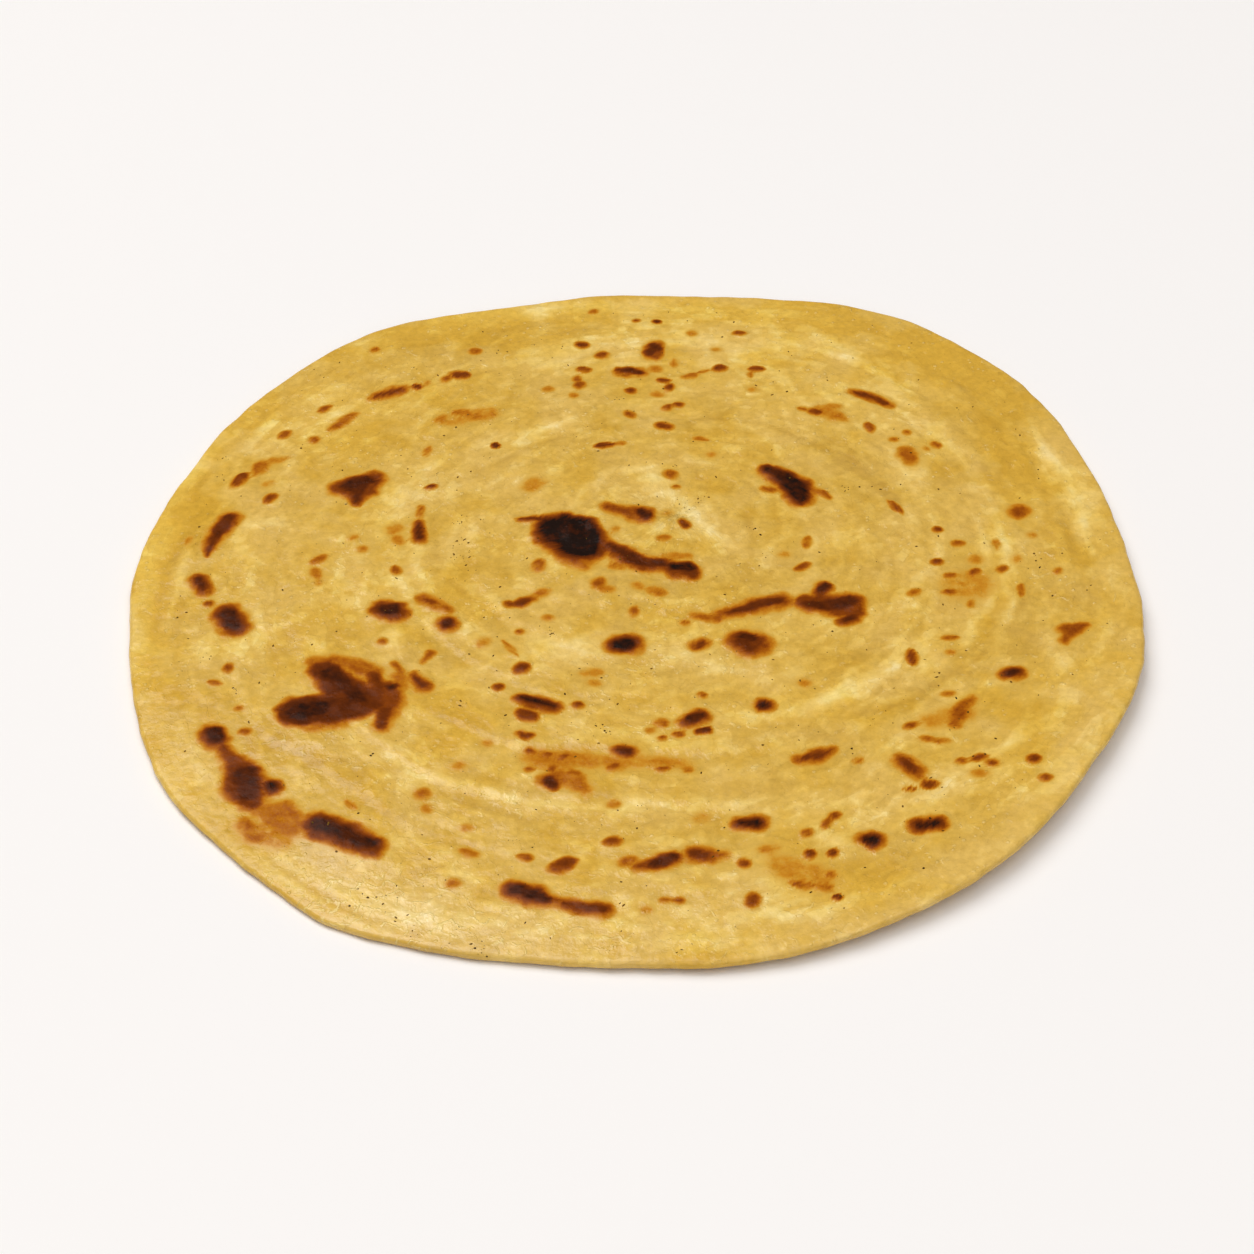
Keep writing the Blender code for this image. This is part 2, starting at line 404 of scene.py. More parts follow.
    (0.42, ((64.2, -31.6, 0.7), (61.6, -34.6, 1.5), (60.2, -38.6, 1.3))),
    (0.16, ((62.0, -35.6, 2.0), (55.6, -38.0, 1.6))),
    (0.50, ((84.4, -12.8, 2.0), (87.6, -11.6, 0.8))),
    (0.46, ((84.4, -13.6, 1.6), (83.2, -16.0, 0.8))),
)

# The smaller spots: x, y, half-length, half-width, direction in degrees, heat.
TOAST_SPOTS = (
    # far side
    (-66.0, 58.8, 1.6, 0.7, 42, 0.50), (-46.6, 65.7, 1.1, 0.7, 15, 0.78), (-44.6, 67.0, 0.8, 0.5, 60, 0.34),
    (-37.6, 69.7, 2.1, 1.4, -10, 0.60), (-40.6, 68.0, 1.1, 0.8, 60, 0.52), (-34.8, 78.6, 1.2, 1.1, 0, 0.48),
    (-56.6, 79.4, 0.9, 0.8, 0, 0.48), (-36.8, 56.6, 2.0, 0.9, 10, 0.36), (-32.6, 55.8, 3.6, 1.8, 10, 0.24),
    (-11.4, 81.1, 1.4, 1.1, -20, 0.72), (-7.1, 77.3, 1.4, 1.2, -10, 0.62), (-10.9, 71.8, 1.4, 0.8, 0, 0.58),
    (-12.3, 68.4, 1.0, 0.8, 90, 0.50), (-11.8, 66.2, 1.5, 1.1, 60, 0.46), (-13.0, 62.4, 0.7, 0.6, 0, 0.42),
    (-0.9, 64.3, 1.2, 0.8, 10, 0.64), (-1.1, 55.7, 1.3, 0.9, -40, 0.52), (4.8, 76.2, 1.0, 0.8, 60, 0.56),
    (8.6, 74.0, 1.3, 0.6, 85, 0.30), (4.6, 72.0, 1.3, 1.0, 0, 0.28), (5.0, 89.8, 0.8, 0.7, 0, 0.84),
    (0.4, 90.4, 0.6, 0.5, 0, 0.50), (23.1, 85.1, 1.5, 0.7, 0, 0.56), (12.6, 85.2, 0.8, 0.6, 0, 0.26),
    (17.8, 79.3, 0.8, 0.6, 0, 0.22), (18.4, 72.0, 1.5, 1.0, 20, 0.72), (14.8, 70.9, 1.8, 0.4, 25, 0.42),
    (11.9, 69.4, 1.8, 0.9, 18, 0.42), (26.4, 72.0, 1.7, 0.7, -5, 0.64), (25.0, 70.0, 1.1, 0.4, 90, 0.34),
    (25.4, 64.6, 0.8, 0.6, 0, 0.22), (6.2, 67.9, 1.4, 0.7, -10, 0.66), (7.5, 65.4, 1.1, 0.9, 60, 0.68),
    (5.2, 63.2, 1.3, 1.0, 0, 0.28), (7.0, 58.3, 1.3, 0.8, 20, 0.54), (9.4, 59.3, 1.1, 0.8, 10, 0.60),
    (-18.6, 64.6, 1.0, 0.8, 0, 0.30), (-9.0, 93.9, 1.0, 0.6, 30, 0.44), (38.5, 56.5, 1.5, 1.1, 0, 0.66),
    (35.8, 57.6, 1.1, 0.5, -20, 0.50), (41.6, 55.8, 4.0, 1.6, -35, 0.24), (42.0, 58.2, 1.8, 0.9, 0, 0.28),
    # left
    (-48.8, 18.4, 1.6, 1.2, 60, 0.28), (-47.8, 15.2, 1.5, 1.0, 120, 0.30), (-84.1, -3.9, 0.9, 0.8, 0, 0.60),
    (-81.9, 34.6, 2.7, 1.2, 62, 0.66), (-74.9, 28.2, 1.7, 1.0, 60, 0.56), (-78.0, 38.8, 2.6, 1.4, 75, 0.34),
    (-74.8, 41.4, 2.6, 0.9, 15, 0.26), (-75.8, 33.4, 1.0, 0.7, 30, 0.26), (-73.8, 50.2, 1.6, 0.8, 50, 0.56),
    (-67.5, 48.1, 1.0, 0.9, 0, 0.56), (-63.4, 9.0, 1.8, 0.9, 40, 0.42), (-63.6, 4.8, 1.5, 0.9, 110, 0.38),
    (-62.9, 2.2, 0.9, 0.6, 100, 0.24), (-47.7, 5.6, 1.2, 0.8, 100, 0.50), (-54.8, 12.0, 0.9, 0.7, 0, 0.30),
    (-57.0, 15.6, 0.8, 0.6, 0, 0.20), (-90.2, 15.4, 1.3, 0.5, 80, 0.24), (-49.1, -15.7, 0.8, 0.7, 20, 0.56),
    (-78.4, -22.9, 1.3, 0.8, 90, 0.46), (-80.5, -27.0, 1.3, 0.5, -20, 0.42),
    (-73.4, -40.2, 1.2, 0.8, 0, 0.46), (-75.2, -34.0, 0.6, 0.5, 0, 0.30),
    # middle
    (5.8, 15.0, 1.2, 0.8, 20, 0.30), (6.5, 22.7, 0.9, 0.7, 0, 0.22), (-4.0, 17.6, 0.9, 0.6, 60, 0.26),
    (-19.3, 6.8, 1.8, 1.2, 80, 0.44), (-7.3, 1.2, 1.8, 1.2, 60, 0.46), (-5.6, -0.6, 1.4, 0.9, 0, 0.34),
    (0.6, 0.4, 1.2, 0.8, -40, 0.30), (-41.0, 54.2, 1.4, 0.9, 30, 0.32), (-38.6, 53.6, 3.4, 1.2, 10, 0.18),
    (-20.7, 32.3, 2.4, 1.6, 30, 0.18), (-43.3, 43.6, 1.5, 0.6, 80, 0.28), (-29.1, 45.0, 0.8, 0.7, 0, 0.84),
    (-42.0, 31.7, 1.1, 0.6, 20, 0.74), (-6.4, 45.1, 2.4, 0.7, 5, 0.76), (-3.0, 45.7, 1.4, 0.4, 10, 0.40),
    (6.3, 51.8, 1.9, 1.2, -18, 0.66), (13.9, 47.4, 1.6, 0.5, -15, 0.42), (7.4, 35.6, 1.5, 1.1, 120, 0.48),
    (8.5, 31.6, 0.7, 0.6, 0, 0.56), (16.0, 42.2, 0.8, 0.6, 0, 0.20), (34.6, 13.8, 1.8, 0.8, 80, 0.40),
    (33.4, 6.3, 1.8, 0.8, 32, 0.54), (30.0, 10.2, 1.0, 0.6, 0, 0.22), (9.8, -10.4, 0.9, 0.7, 0, 0.40),
    (-22.3, -4.6, 2.0, 1.3, 30, 0.62), (-24.6, -5.0, 1.3, 0.9, -30, 0.56), (-20.6, -3.4, 1.2, 0.9, 0, 0.50),
    (-18.4, -1.6, 1.8, 0.9, 30, 0.34), (4.2, -1.2, 2.0, 1.1, -20, 0.32), (-0.3, -7.2, 1.5, 0.8, 80, 0.40),
    (-22.4, -13.0, 0.8, 0.6, -20, 0.56), (-29.4, -16.4, 1.4, 0.9, 60, 0.26),
    (-17.0, -9.2, 1.0, 0.7, 0, 0.30), (-21.9, -23.9, 1.6, 1.3, 30, 0.66), (-26.2, -28.8, 1.0, 0.8, 0, 0.66),
    (-10.9, -33.9, 1.1, 0.8, 0, 0.64), (-24.2, -18.0, 2.8, 0.5, -58, 0.34),
    (-8.4, -25.0, 2.0, 1.0, 10, 0.26), (-8.0, -27.6, 1.2, 0.7, -20, 0.22), (8.0, -41.6, 0.9, 0.7, 0, 0.60),
    (4.9, -38.6, 1.3, 0.9, 0, 0.38), (5.0, -42.6, 0.7, 0.5, 0, 0.60), (2.8, -40.6, 0.8, 0.5, 0, 0.30),
    (24.5, -33.6, 1.5, 1.3, 0, 0.92), (24.5, -33.6, 2.0, 1.8, 0, 0.54), (12.7, -31.0, 0.7, 0.6, 0, 0.50),
    (32.4, -27.4, 1.0, 0.8, 0, 0.26), (41.3, -48.5, 1.0, 0.6, 20, 0.40), (-2.1, -46.1, 1.9, 1.0, -8, 0.82),
    (-2.1, -46.2, 2.6, 1.6, -8, 0.48), (-20.4, -42.2, 1.5, 0.8, 10, 0.62),
    (-21.6, -41.6, 1.0, 0.7, 0, 0.50), (-19.7, -45.9, 0.8, 0.6, 0, 0.68), (-16.4, -46.8, 0.8, 0.6, 0, 0.62),
    (-13.4, -47.4, 1.0, 0.7, 0, 0.60), (-27.8, -44.0, 0.8, 0.6, 0, 0.26), (-32.8, -50.0, 1.2, 0.8, 0, 0.20),
    # right
    (49.5, 51.3, 1.4, 0.8, 105, 0.50), (57.0, 42.0, 2.8, 1.9, 105, 0.40), (54.5, 47.4, 0.8, 0.6, 0, 0.46),
    (57.3, 49.4, 0.7, 0.6, 0, 0.44), (63.2, 45.6, 1.0, 0.6, -45, 0.48), (61.0, 44.2, 0.7, 0.4, -45, 0.30),
    (53.2, 25.2, 2.6, 0.7, -58, 0.50), (78.3, 23.9, 2.2, 2.0, 20, 0.44), (61.3, 18.2, 0.9, 0.7, 10, 0.62),
    (65.1, 13.7, 1.2, 0.8, 10, 0.42), (60.4, 8.0, 0.9, 0.8, 0, 0.66), (67.7, 5.2, 1.1, 0.8, 30, 0.56),
    (62.7, 3.9, 1.0, 0.6, 0, 0.48), (73.2, 5.9, 1.1, 0.8, 30, 0.56), (76.4, -0.4, 1.8, 0.6, 82, 0.44),
    (62.3, -1.0, 1.3, 0.8, 0, 0.46), (64.8, 1.6, 0.8, 0.6, 0, 0.34), (68.2, 8.8, 1.4, 1.0, 30, 0.22),
    (72.8, 13.4, 1.4, 0.5, 95, 0.30), (66.2, -4.4, 1.0, 0.5, 70, 0.36), (55.2, -1.6, 1.4, 0.8, 35, 0.42),
    (66.0, 1.0, 5.0, 3.4, 20, 0.12), (84.3, 5.0, 0.8, 0.6, 60, 0.42), (80.3, 16.4, 0.7, 0.6, 0, 0.26),
    (76.4, 8.8, 1.0, 0.6, 80, 0.22), (53.4, -20.0, 2.1, 0.9, 92, 0.62), (61.2, -14.6, 1.5, 0.6, 5, 0.46),
    (61.0, -18.8, 0.8, 0.6, 0, 0.30), (51.8, -38.9, 1.4, 0.8, 25, 0.54), (54.6, -42.8, 1.2, 0.7, -10, 0.50),
    (57.4, -43.6, 1.6, 0.6, 0, 0.28), (59.6, -30.2, 1.2, 0.6, 0, 0.36), (60.5, -49.0, 0.9, 0.7, 0, 0.52),
    (63.8, -48.2, 1.3, 0.8, 20, 0.66), (66.2, -49.8, 1.0, 0.8, 0, 0.56), (73.9, -49.0, 1.2, 1.1, 0, 0.66),
    # near side
    (54.1, -55.1, 1.5, 1.0, 0, 0.68), (50.4, -56.3, 1.2, 0.5, 0, 0.62), (63.6, -52.4, 1.6, 1.0, 0, 0.22),
    (75.5, -54.1, 1.0, 0.9, 0, 0.54), (36.2, -63.0, 1.1, 0.8, 30, 0.52), (34.6, -65.0, 1.3, 0.6, 55, 0.56),
    (30.9, -67.3, 1.2, 0.7, 20, 0.48), (31.3, -72.5, 0.9, 0.9, 0, 0.76), (35.4, -72.4, 0.9, 0.8, 0, 0.72),
    (34.8, -77.4, 0.8, 0.7, 0, 0.40), (29.6, -79.8, 2.2, 0.8, -8, 0.46), (33.4, -80.6, 1.8, 0.7, -10, 0.38),
    (27.0, -75.6, 3.4, 2.4, -30, 0.17), (31.6, -78.0, 3.8, 2.6, -20, 0.17),
    (24.0, -71.2, 2.0, 0.8, 10, 0.20), (20.6, -83.7, 1.7, 1.2, 80, 0.60), (19.4, -74.8, 1.1, 0.8, 0, 0.56),
    (35.7, -83.0, 0.7, 0.5, -30, 0.84), (5.3, -83.3, 1.0, 0.6, 0, 0.40), (7.6, -83.5, 0.9, 0.6, 0, 0.50),
    (1.8, -85.6, 0.7, 0.6, 0, 0.28), (11.9, -63.2, 1.2, 0.9, 0, 0.18), (-19.8, -50.6, 0.9, 0.6, 0, 0.50),
    (-15.4, -50.4, 0.9, 0.7, 0, 0.56), (-11.4, -51.8, 1.2, 0.7, 0, 0.46), (-4.2, -50.2, 1.2, 0.8, 20, 0.56),
    (5.0, -50.8, 1.1, 0.5, 0, 0.50), (9.6, -50.8, 1.0, 0.6, 0, 0.38), (-4.1, -59.8, 1.1, 0.8, 0, 0.34),
    (-4.1, -69.1, 1.6, 1.0, 8, 0.60), (-1.4, -74.2, 1.8, 1.2, 20, 0.38), (-12.6, -74.2, 2.2, 1.1, 20, 0.72),
    (-13.4, -75.0, 2.6, 1.5, 20, 0.50), (-20.0, -72.7, 1.4, 0.7, -10, 0.46),
    (-30.0, -71.4, 1.8, 0.8, -20, 0.30), (-30.7, -65.5, 1.0, 0.6, 0, 0.26),
    (-32.5, -78.9, 1.2, 0.9, 0, 0.36), (-39.2, -57.0, 1.4, 1.2, -30, 0.40),
    (-38.2, -60.6, 0.9, 0.8, 0, 0.24), (-52.2, -59.6, 1.6, 0.5, -50, 0.30),
)

# Small spots that aren't charred are painted a little cooler than their heat in the list says.
SMALL_SPOT_HEAT = 0.88
# Browning is never below this, so that it falls away evenly just outside a mark.
COLDEST = -0.8


def stroke_gap(x, y, points):
    """How far each place lies outside a stroke, below 0 within it."""
    gap = np.full_like(x, 99.0)
    for start, end in zip(points, points[1:] or points):
        run = np.array(end[:2]) - start[:2]
        length = max(float(run @ run), 1e-9)
        along = np.clip(((x - start[0]) * run[0] + (y - start[1]) * run[1]) / length, 0, 1)
        distance = np.hypot(x - start[0] - along * run[0], y - start[1] - along * run[1])
        gap = np.minimum(gap, distance - start[2] - along * (end[2] - start[2]))
    return gap


def spot_gap(x, y, spot):
    """The same for an oval spot."""
    centre_x, centre_y, half_length, half_width, direction = spot
    turn = math.radians(direction)
    along = (x - centre_x) * math.cos(turn) + (y - centre_y) * math.sin(turn)
    across = (y - centre_y) * math.cos(turn) - (x - centre_x) * math.sin(turn)
    ratio = np.sqrt((along / half_length) ** 2 + (across / half_width) ** 2)
    gap = (ratio - 1) * np.sqrt(along**2 + across**2) / np.maximum(ratio, 1e-6)
    return np.maximum(gap, -min(half_length, half_width))


def browning(place, strokes, spots):
    """Browning at each point: 0 at a mark's outer edge, rising evenly to its heat, and below 0 outside it."""
    x = place.list_x
    y = place.list_y
    fray_x = 0.55 * FRAY(x, y, 3.0) + 0.45 * FRAY(x, y, 1.7)
    fray_y = 0.55 * FRAY(y + 40, x, 3.0) + 0.45 * FRAY(y + 40, x, 1.7)
    field = np.full_like(x, COLDEST)
    marks = [(heat, max(width for *_, width in points), points, None) for heat, points in strokes]
    marks += [(spot[5], min(spot[2:4]), ((spot[0], spot[1], max(spot[2:4])),), spot[:5]) for spot in spots]
    for heat, width, points, spot in marks:
        heat = heat * (SMALL_SPOT_HEAT if width < 1.3 and heat < 0.8 else 1.0)
        halo = 0.50 + 0.12 * min(width, 4.0)
        core = 0.30 + 0.50 * min(width, 2.6)
        xs, ys, widths = zip(*points)
        reach = max(widths) + halo + 3
        near = (x > min(xs) - reach) & (x < max(xs) + reach) & (y > min(ys) - reach) & (y < max(ys) + reach)
        if not near.any():
            continue
        scale = min(0.7, 0.18 + 0.20 * width)
        moved_x = x[near] + fray_x[near] * scale
        moved_y = y[near] + fray_y[near] * scale
        gap = spot_gap(moved_x, moved_y, spot) if spot else stroke_gap(moved_x, moved_y, points)
        slope = np.clip(1.35 * (halo - gap) / (halo + core), COLDEST, 1.0)
        field[near] = np.maximum(field[near], heat * slope)
    return field


# ---------------------------------------------------------------- dough tones

# Areas of floury, paler dough (above 0), with painted sheen among those along the near-left rim, and of
# darker, greyer, fused dough (below 0):
# x, y, half-length, half-width, direction in degrees, strength.
PALE_AREAS = (
    # far side
    (-19, 78, 6, 6, 60, 0.95), (-6, 82, 7, 4, 0, 0.50), (10, 84, 8, 3, 0, 0.50), (20, 80, 10, 4, -20, 0.55),
    (34, 82, 5, 4, 0, 0.65), (46, 78, 6, 2.5, -35, 0.55), (36, 67, 10, 2.5, -25, 0.50),
    (46, 64, 5, 2, -30, 0.55), (9, 72, 16, 3, 0, 0.25), (-66, 67, 3, 2, 40, 0.35),
    (-60, 60, 9, 1.5, 30, 0.60), (-77, 56, 4, 1.2, 70, 0.60), (-35, 76, 14, 3, 15, -0.15),
    (0, 95, 40, 4, 0, 0.60), (-56, 56, 9, 5, 30, 0.25), (36, 62, 24, 10, -20, 0.22),
    (48, 74, 16, 7, -30, 0.28), (24, 88, 7, 5, 0, 0.30), (-38, 92, 18, 4, 18, 0.40),
    (-12, 64, 8, 5, 0, -0.20),
    # left
    (-66, 52, 5, 2, 60, 0.40), (-82, 46, 6, 1.4, 62, 0.60), (-57, 45, 5, 2.5, 60, 0.15),
    (-48, 27, 5, 3, 80, 0.50), (-50, 12, 12, 3, 95, 0.30), (-62, 12, 8, 5, 80, 0.30),
    (-76, 8, 7, 3, 100, 0.35), (-60, -3, 8, 6, 0, 0.35), (-84, -15, 8, 3, 0, 0.25),
    (-78, -17, 6, 3, 10, 0.45), (-46, -14, 4, 2, 60, 0.55), (-53, -41, 5, 2.4, -60, 0.85),
    (-60, -44, 6, 1.5, -20, 0.20), (-80, -50, 7, 2.5, 110, 0.55), (-90, 44, 15, 3, 58, 0.80),
    (-97, 2, 26, 3, 92, 0.45), (-68, 22, 6, 4, 60, 0.30), (-66, -25, 6, 3, 60, 0.30),
    (-97, 14, 22, 4, 85, 0.45), (-95, -22, 14, 4, 100, 0.35), (-92, 36, 6, 4, 62, 0.40),
    (-61, -44, 9, 4, -10, -0.60), (-88, 18, 9, 4, 80, -0.40),
    # middle
    (-22, 49, 9, 2, 25, 0.60), (-36, 43, 7, 3, 35, 0.20), (-42, 35, 4, 3, 60, 0.40),
    (-30, 32, 6, 4, 40, 0.30), (-44, 8, 10, 1.5, 100, 0.45), (3, 36, 3, 4, 60, 0.75),
    (5, 29, 2.5, 5, 20, 0.75), (12, 25, 5, 2.4, 115, 0.70), (15, 17, 5, 2, 130, 0.80),
    (20, 12, 4, 2, 160, 0.55), (-30, 20, 3, 7, 0, 0.25), (-12, 6, 6, 1.5, -20, 0.70),
    (-4, -4, 18, 3, 0, 0.20), (24, 4, 6, 3, 30, 0.20), (40, 15, 8, 3, 20, 0.35), (30, 46, 5, 2, -40, 0.50),
    (42, -9, 6, 1.5, 20, 0.80), (44, -26, 10, 2, 40, 0.75), (36, -33, 7, 2, 20, 0.50),
    (-12, -18, 7, 3.5, 20, 1.00), (-20, -15, 4, 3, 40, 0.60), (-28, -20, 3, 6, 20, 0.30),
    (10, -18, 4, 4, 0, 0.45), (18, -24, 6, 2, -30, 0.60), (25, -27, 5, 4, -20, 0.10),
    (-6, -41, 6, 2.5, 0, 0.75), (3, -43, 4, 1.5, -20, 0.90), (-14, -38, 6, 2, 20, 0.45),
    (22, -36, 5, 2, 0, 0.55), (-45, -49, 6, 2, -20, 0.50), (-44, 3, 10, 4, 0, 0.22),
    (-36, -31, 5, 5, 0, 0.30), (34, 46, 14, 5, -30, 0.18), (-44, 6, 12, 5, 30, 0.18),
    (-44, -20, 4, 5, 0, -0.40), (-38, 43, 6, 5, 50, -0.25), (36, -42, 6, 5, 0, -0.25),
    (2, 53, 14, 2.5, 0, -0.35), (26, 50, 10, 3, -12, -0.30), (42, 42, 9, 3.5, -42, -0.40),
    (0, 33, 8, 4, 0, 0.25), (26, 8, 4, 3, 0, -0.30), (14, -1, 20, 6, 0, -0.55), (-20, 15, 5, 8, 20, -0.10),
    # right
    (48, 14, 8, 2.5, 70, 0.25), (55, 43, 5, 2, 100, 0.55), (56, 33, 6, 3, 125, 0.65),
    (60, 24, 5, 1.5, 120, 0.40), (59, 52, 6, 2, 125, 0.40), (65, 48, 5, 1.5, 110, 0.40),
    (74, 16, 9, 1.6, 95, 0.95), (73, 3, 7, 2, 80, 0.70), (79, 26, 6, 3, 90, 0.25),
    (85, 44, 8, 2.5, 115, 0.45), (88, 36, 10, 4, 112, 0.50), (92, 24, 9, 3, 100, 0.60),
    (93, 2, 16, 2, 95, 0.25), (56, 2, 7, 3, 75, 0.50), (54, -12, 7, 3, 50, 0.10), (66, -10, 6, 2, 70, 0.40),
    (56, -22, 4, 2, 50, 0.60), (86, -25, 4, 4, 60, 0.55), (80, -35, 8, 2, 55, 0.60),
    (70, -45, 9, 2, 45, 0.70), (50, -42, 5, 3, 80, 0.30), (56, -38, 9, 4, -30, 0.35),
    (84, -46, 16, 3, 58, 0.35), (50, 32, 7, 3, -70, -0.40), (65, 50, 6, 3, 110, 0.20),
    (48, -18, 8, 2, 40, -0.30), (66, -22, 12, 2, 45, -0.45), (78, -14, 6, 4, 60, -0.25),
    (62, 30, 6, 4, 100, -0.25), (75, 50, 7, 4, 110, -0.35),
    # near side; along the near-left rim the pale areas are partly paler dough and partly painted sheen of the
    # fat
    (58, -56, 8, 3, 20, 0.15), (-28, -57, 12, 1.6, -22, 0.75), (-8, -60, 9, 1.2, -5, 0.60),
    (10, -60, 10, 1.2, 4, 0.60), (32, -60, 12, 2.5, 10, 0.35), (34, -68, 3, 3, 0, 0.80),
    (52, -61, 6, 2, 10, 0.60), (22, -67, 6, 2, 0, 0.10), (10, -78, 12, 3, 0, 0.20),
    (-12, -79, 8, 3, -10, -0.10), (25, -79, 4, 3, 0, 0.55), (18, -86, 12, 2, -5, 0.35),
    (42, -82, 5, 2, 20, 0.55), (-31, -76, 4, 1.5, -30, 0.60), (-60, -68, 10, 4, -26, -0.40),
    (-56, -77, 9, 3, -32, 0.55), (-46, -83, 9, 4.5, -35, 0.70), (-36, -88, 7, 3, -20, 0.60),
    (-22, -90, 10, 3, -8, 0.50), (-4, -90, 12, 3, 0, 0.35), (-62, -79, 8, 2, -42, 0.25),
    (-84, -58, 13, 3, 118, 0.45), (30, -85, 9, 4, 0, 0.50), (14, -92, 10, 4, 0, 0.80),
    (-27, -85, 7, 3, -15, 0.40), (76, -54, 9, 4, 55, 0.40), (64, -74, 14, 3, 38, 0.35),
    (-14, -58, 5, 4, 0, -0.25), (-2, -78, 14, 3, 0, -0.25), (-36, -93, 11, 3, -12, -0.60),
    (-40, -62, 10, 3, -20, -0.15),
)

# Areas of deep golden, oilier dough (above 0), and of less yellow dough (below 0), in the same form.
WARM_AREAS = (
    # far side
    (-50, 82, 18, 6, 33, 0.60), (-72, 64, 12, 4, 52, 0.50), (-35, 86, 12, 5, 15, 0.30),
    (-20, 92, 12, 3, 10, 0.45), (-28, 78, 4, 8, 20, 0.45), (-38, 66, 14, 4, 15, 0.45),
    (6, 92, 16, 3, 0, 0.40), (30, 93, 14, 3, -8, 0.65), (52, 86, 14, 4, -28, 0.85),
    (34, 76, 7, 3, -5, 0.55), (66, 76, 12, 6, -45, 0.95), (78, 60, 10, 6, -60, 1.00),
    (56, 68, 8, 1.2, -50, 0.85), (66, 62, 8, 4, -50, 0.55), (18, 92, 10, 3, 0, 0.30),
    (-3, 92, 5, 14, 0, -0.35),
    # left
    (-52, 52, 12, 5, 45, 0.60), (-91, 24, 12, 5, 78, 1.60), (-95, -2, 14, 2, 95, 0.85),
    (-93, -24, 12, 2, 105, 0.50), (-87, -48, 12, 1.6, 120, 0.50), (-88, 46, 10, 2, 62, 0.50),
    (-76, 40, 8, 4, 60, 0.50), (-52, 30, 6, 5, 0, -0.35), (-98, -8, 12, 4, 95, 0.50),
    (-86, 43, 6, 4, 60, -0.60), (-46, 2, 6, 5, 90, -0.45), (-62, 52, 7, 5, 40, -0.30),
    (-58, -10, 6, 5, 0, -0.30), (-61, -45, 12, 9, -10, 0.90), (-61, 11, 8, 5, 20, 0.80),
    (-70, -22, 9, 6, 0, 0.30), (-52, -34, 12, 8, -20, 0.35),
    # middle
    (-14, 14, 9, 5, 0, -1.10), (-38, -2, 5, 8, 0, 0.30), (-38, 5, 4, 6, 0, 0.30),
    (36, -37, 10, 2, 10, 0.45), (21, -46, 6, 4, 0, 0.45), (-6, -30, 10, 4, 0, 0.35),
    (-30, -34, 8, 5, 0, 0.25), (42, 28, 7, 6, 0, 0.45), (17, -29, 9, 5, 0, -0.45),
    (30, -50, 5, 4, 0, -0.35), (30, 49, 7, 5, 0, -0.30), (-4, -50, 6, 18, 0, 0.35),
    (-34, -28, 7, 4, 0, -0.40), (-29, -43, 9, 5, -10, 0.90), (-40, -14, 7, 6, -50, 0.45),
    (2, -4, 7, 4, 0, 0.35), (-36, 55, 9, 4, 25, 0.45), (33, -3, 14, 12, 0, -0.75),
    (-19, 46, 7, 8, 0, -0.70), (-38, 36, 12, 10, 30, -0.30),
    # right
    (76, 46, 12, 4, 110, 1.10), (86, 12, 12, 4.5, 98, 1.45), (74, 44, 8, 3, 110, 0.70),
    (72, 2, 9, 1.2, 85, 0.55), (70, -8, 10, 1.5, 60, 0.55), (56, -30, 14, 1.5, 35, 0.60),
    (60, -33, 5, 4, 0, 0.35), (90, 40, 10, 4, 115, -1.10), (89, -34, 14, 4, 62, -0.60),
    (50, -48, 6, 8, 0, -0.25), (76, 54, 6, 6, 0, 0.40), (62, 22, 6, 16, 10, 0.30),
    (76, -38, 8, 5, 60, 0.45),
    # near side
    (-44, -56, 12, 4, -20, 0.30), (-20, -66, 14, 3, -10, 0.25), (0, -70, 12, 5, 0, 0.35),
    (40, -78, 8, 3, 30, 0.70), (34, -76, 6, 3, -20, 0.60), (54, -72, 8, 3, 30, 0.45),
    (-60, -82, 10, 2, -38, 0.35), (76, -57, 13, 4, 50, -0.80), (60, -75, 13, 4, 38, -0.80),
    (44, -88, 12, 4, 20, -0.70), (-26, -88, 12, 5, -20, -0.80), (32, -84, 7, 5, 10, -0.50),
    (18, -96, 8, 3, 0, -0.40), (-66, -67, 6, 6, -30, 1.60), (6, -80, 7, 3, 0, 0.40),
)

# Where fat has pooled and the skin is wet and finely wrinkled (above 0), and where it is dry (below 0). Above
# 0 the dough's colour is also mixed toward a pale cream, as painted sheen of the fat.
FAT_AND_SHEEN_AREAS = (
    # far side
    (-30, 74, 10, 4, 15, 0.35), (30, 70, 10, 3, -20, 0.35),
    # left
    (-62, -44, 9, 3, -15, 0.70), (-46, -50, 8, 3, -20, 0.50), (-74, -20, 8, 4, 60, 0.35),
    (-60, 8, 9, 5, 60, 0.35), (-88, 28, 14, 9, 70, -0.90),
    # middle
    (2, -21, 9, 4, 10, 0.55), (16, -22, 8, 3, -10, 0.55), (-4, -41, 8, 3, 0, 0.70),
    (20, -37, 8, 3, 0, 0.40), (10, 22, 7, 4, 120, 0.45), (-44, 30, 8, 4, 50, 0.40),
    # right
    (84, 10, 14, 4, 95, 0.40), (60, 44, 8, 4, 120, 0.35),
    # near side
    (-54, -80, 13, 8, -36, 1.00), (-38, -88, 12, 7, -20, 0.90), (-16, -91, 16, 5, -6, 0.60),
    (12, -88, 14, 5, 4, 0.40), (-20, -60, 16, 3, -12, 0.45), (12, -62, 14, 3, 4, 0.40),
    (42, -72, 8, 4, 0, 0.40), (6, -76, 12, 4, 0, 0.45),
)


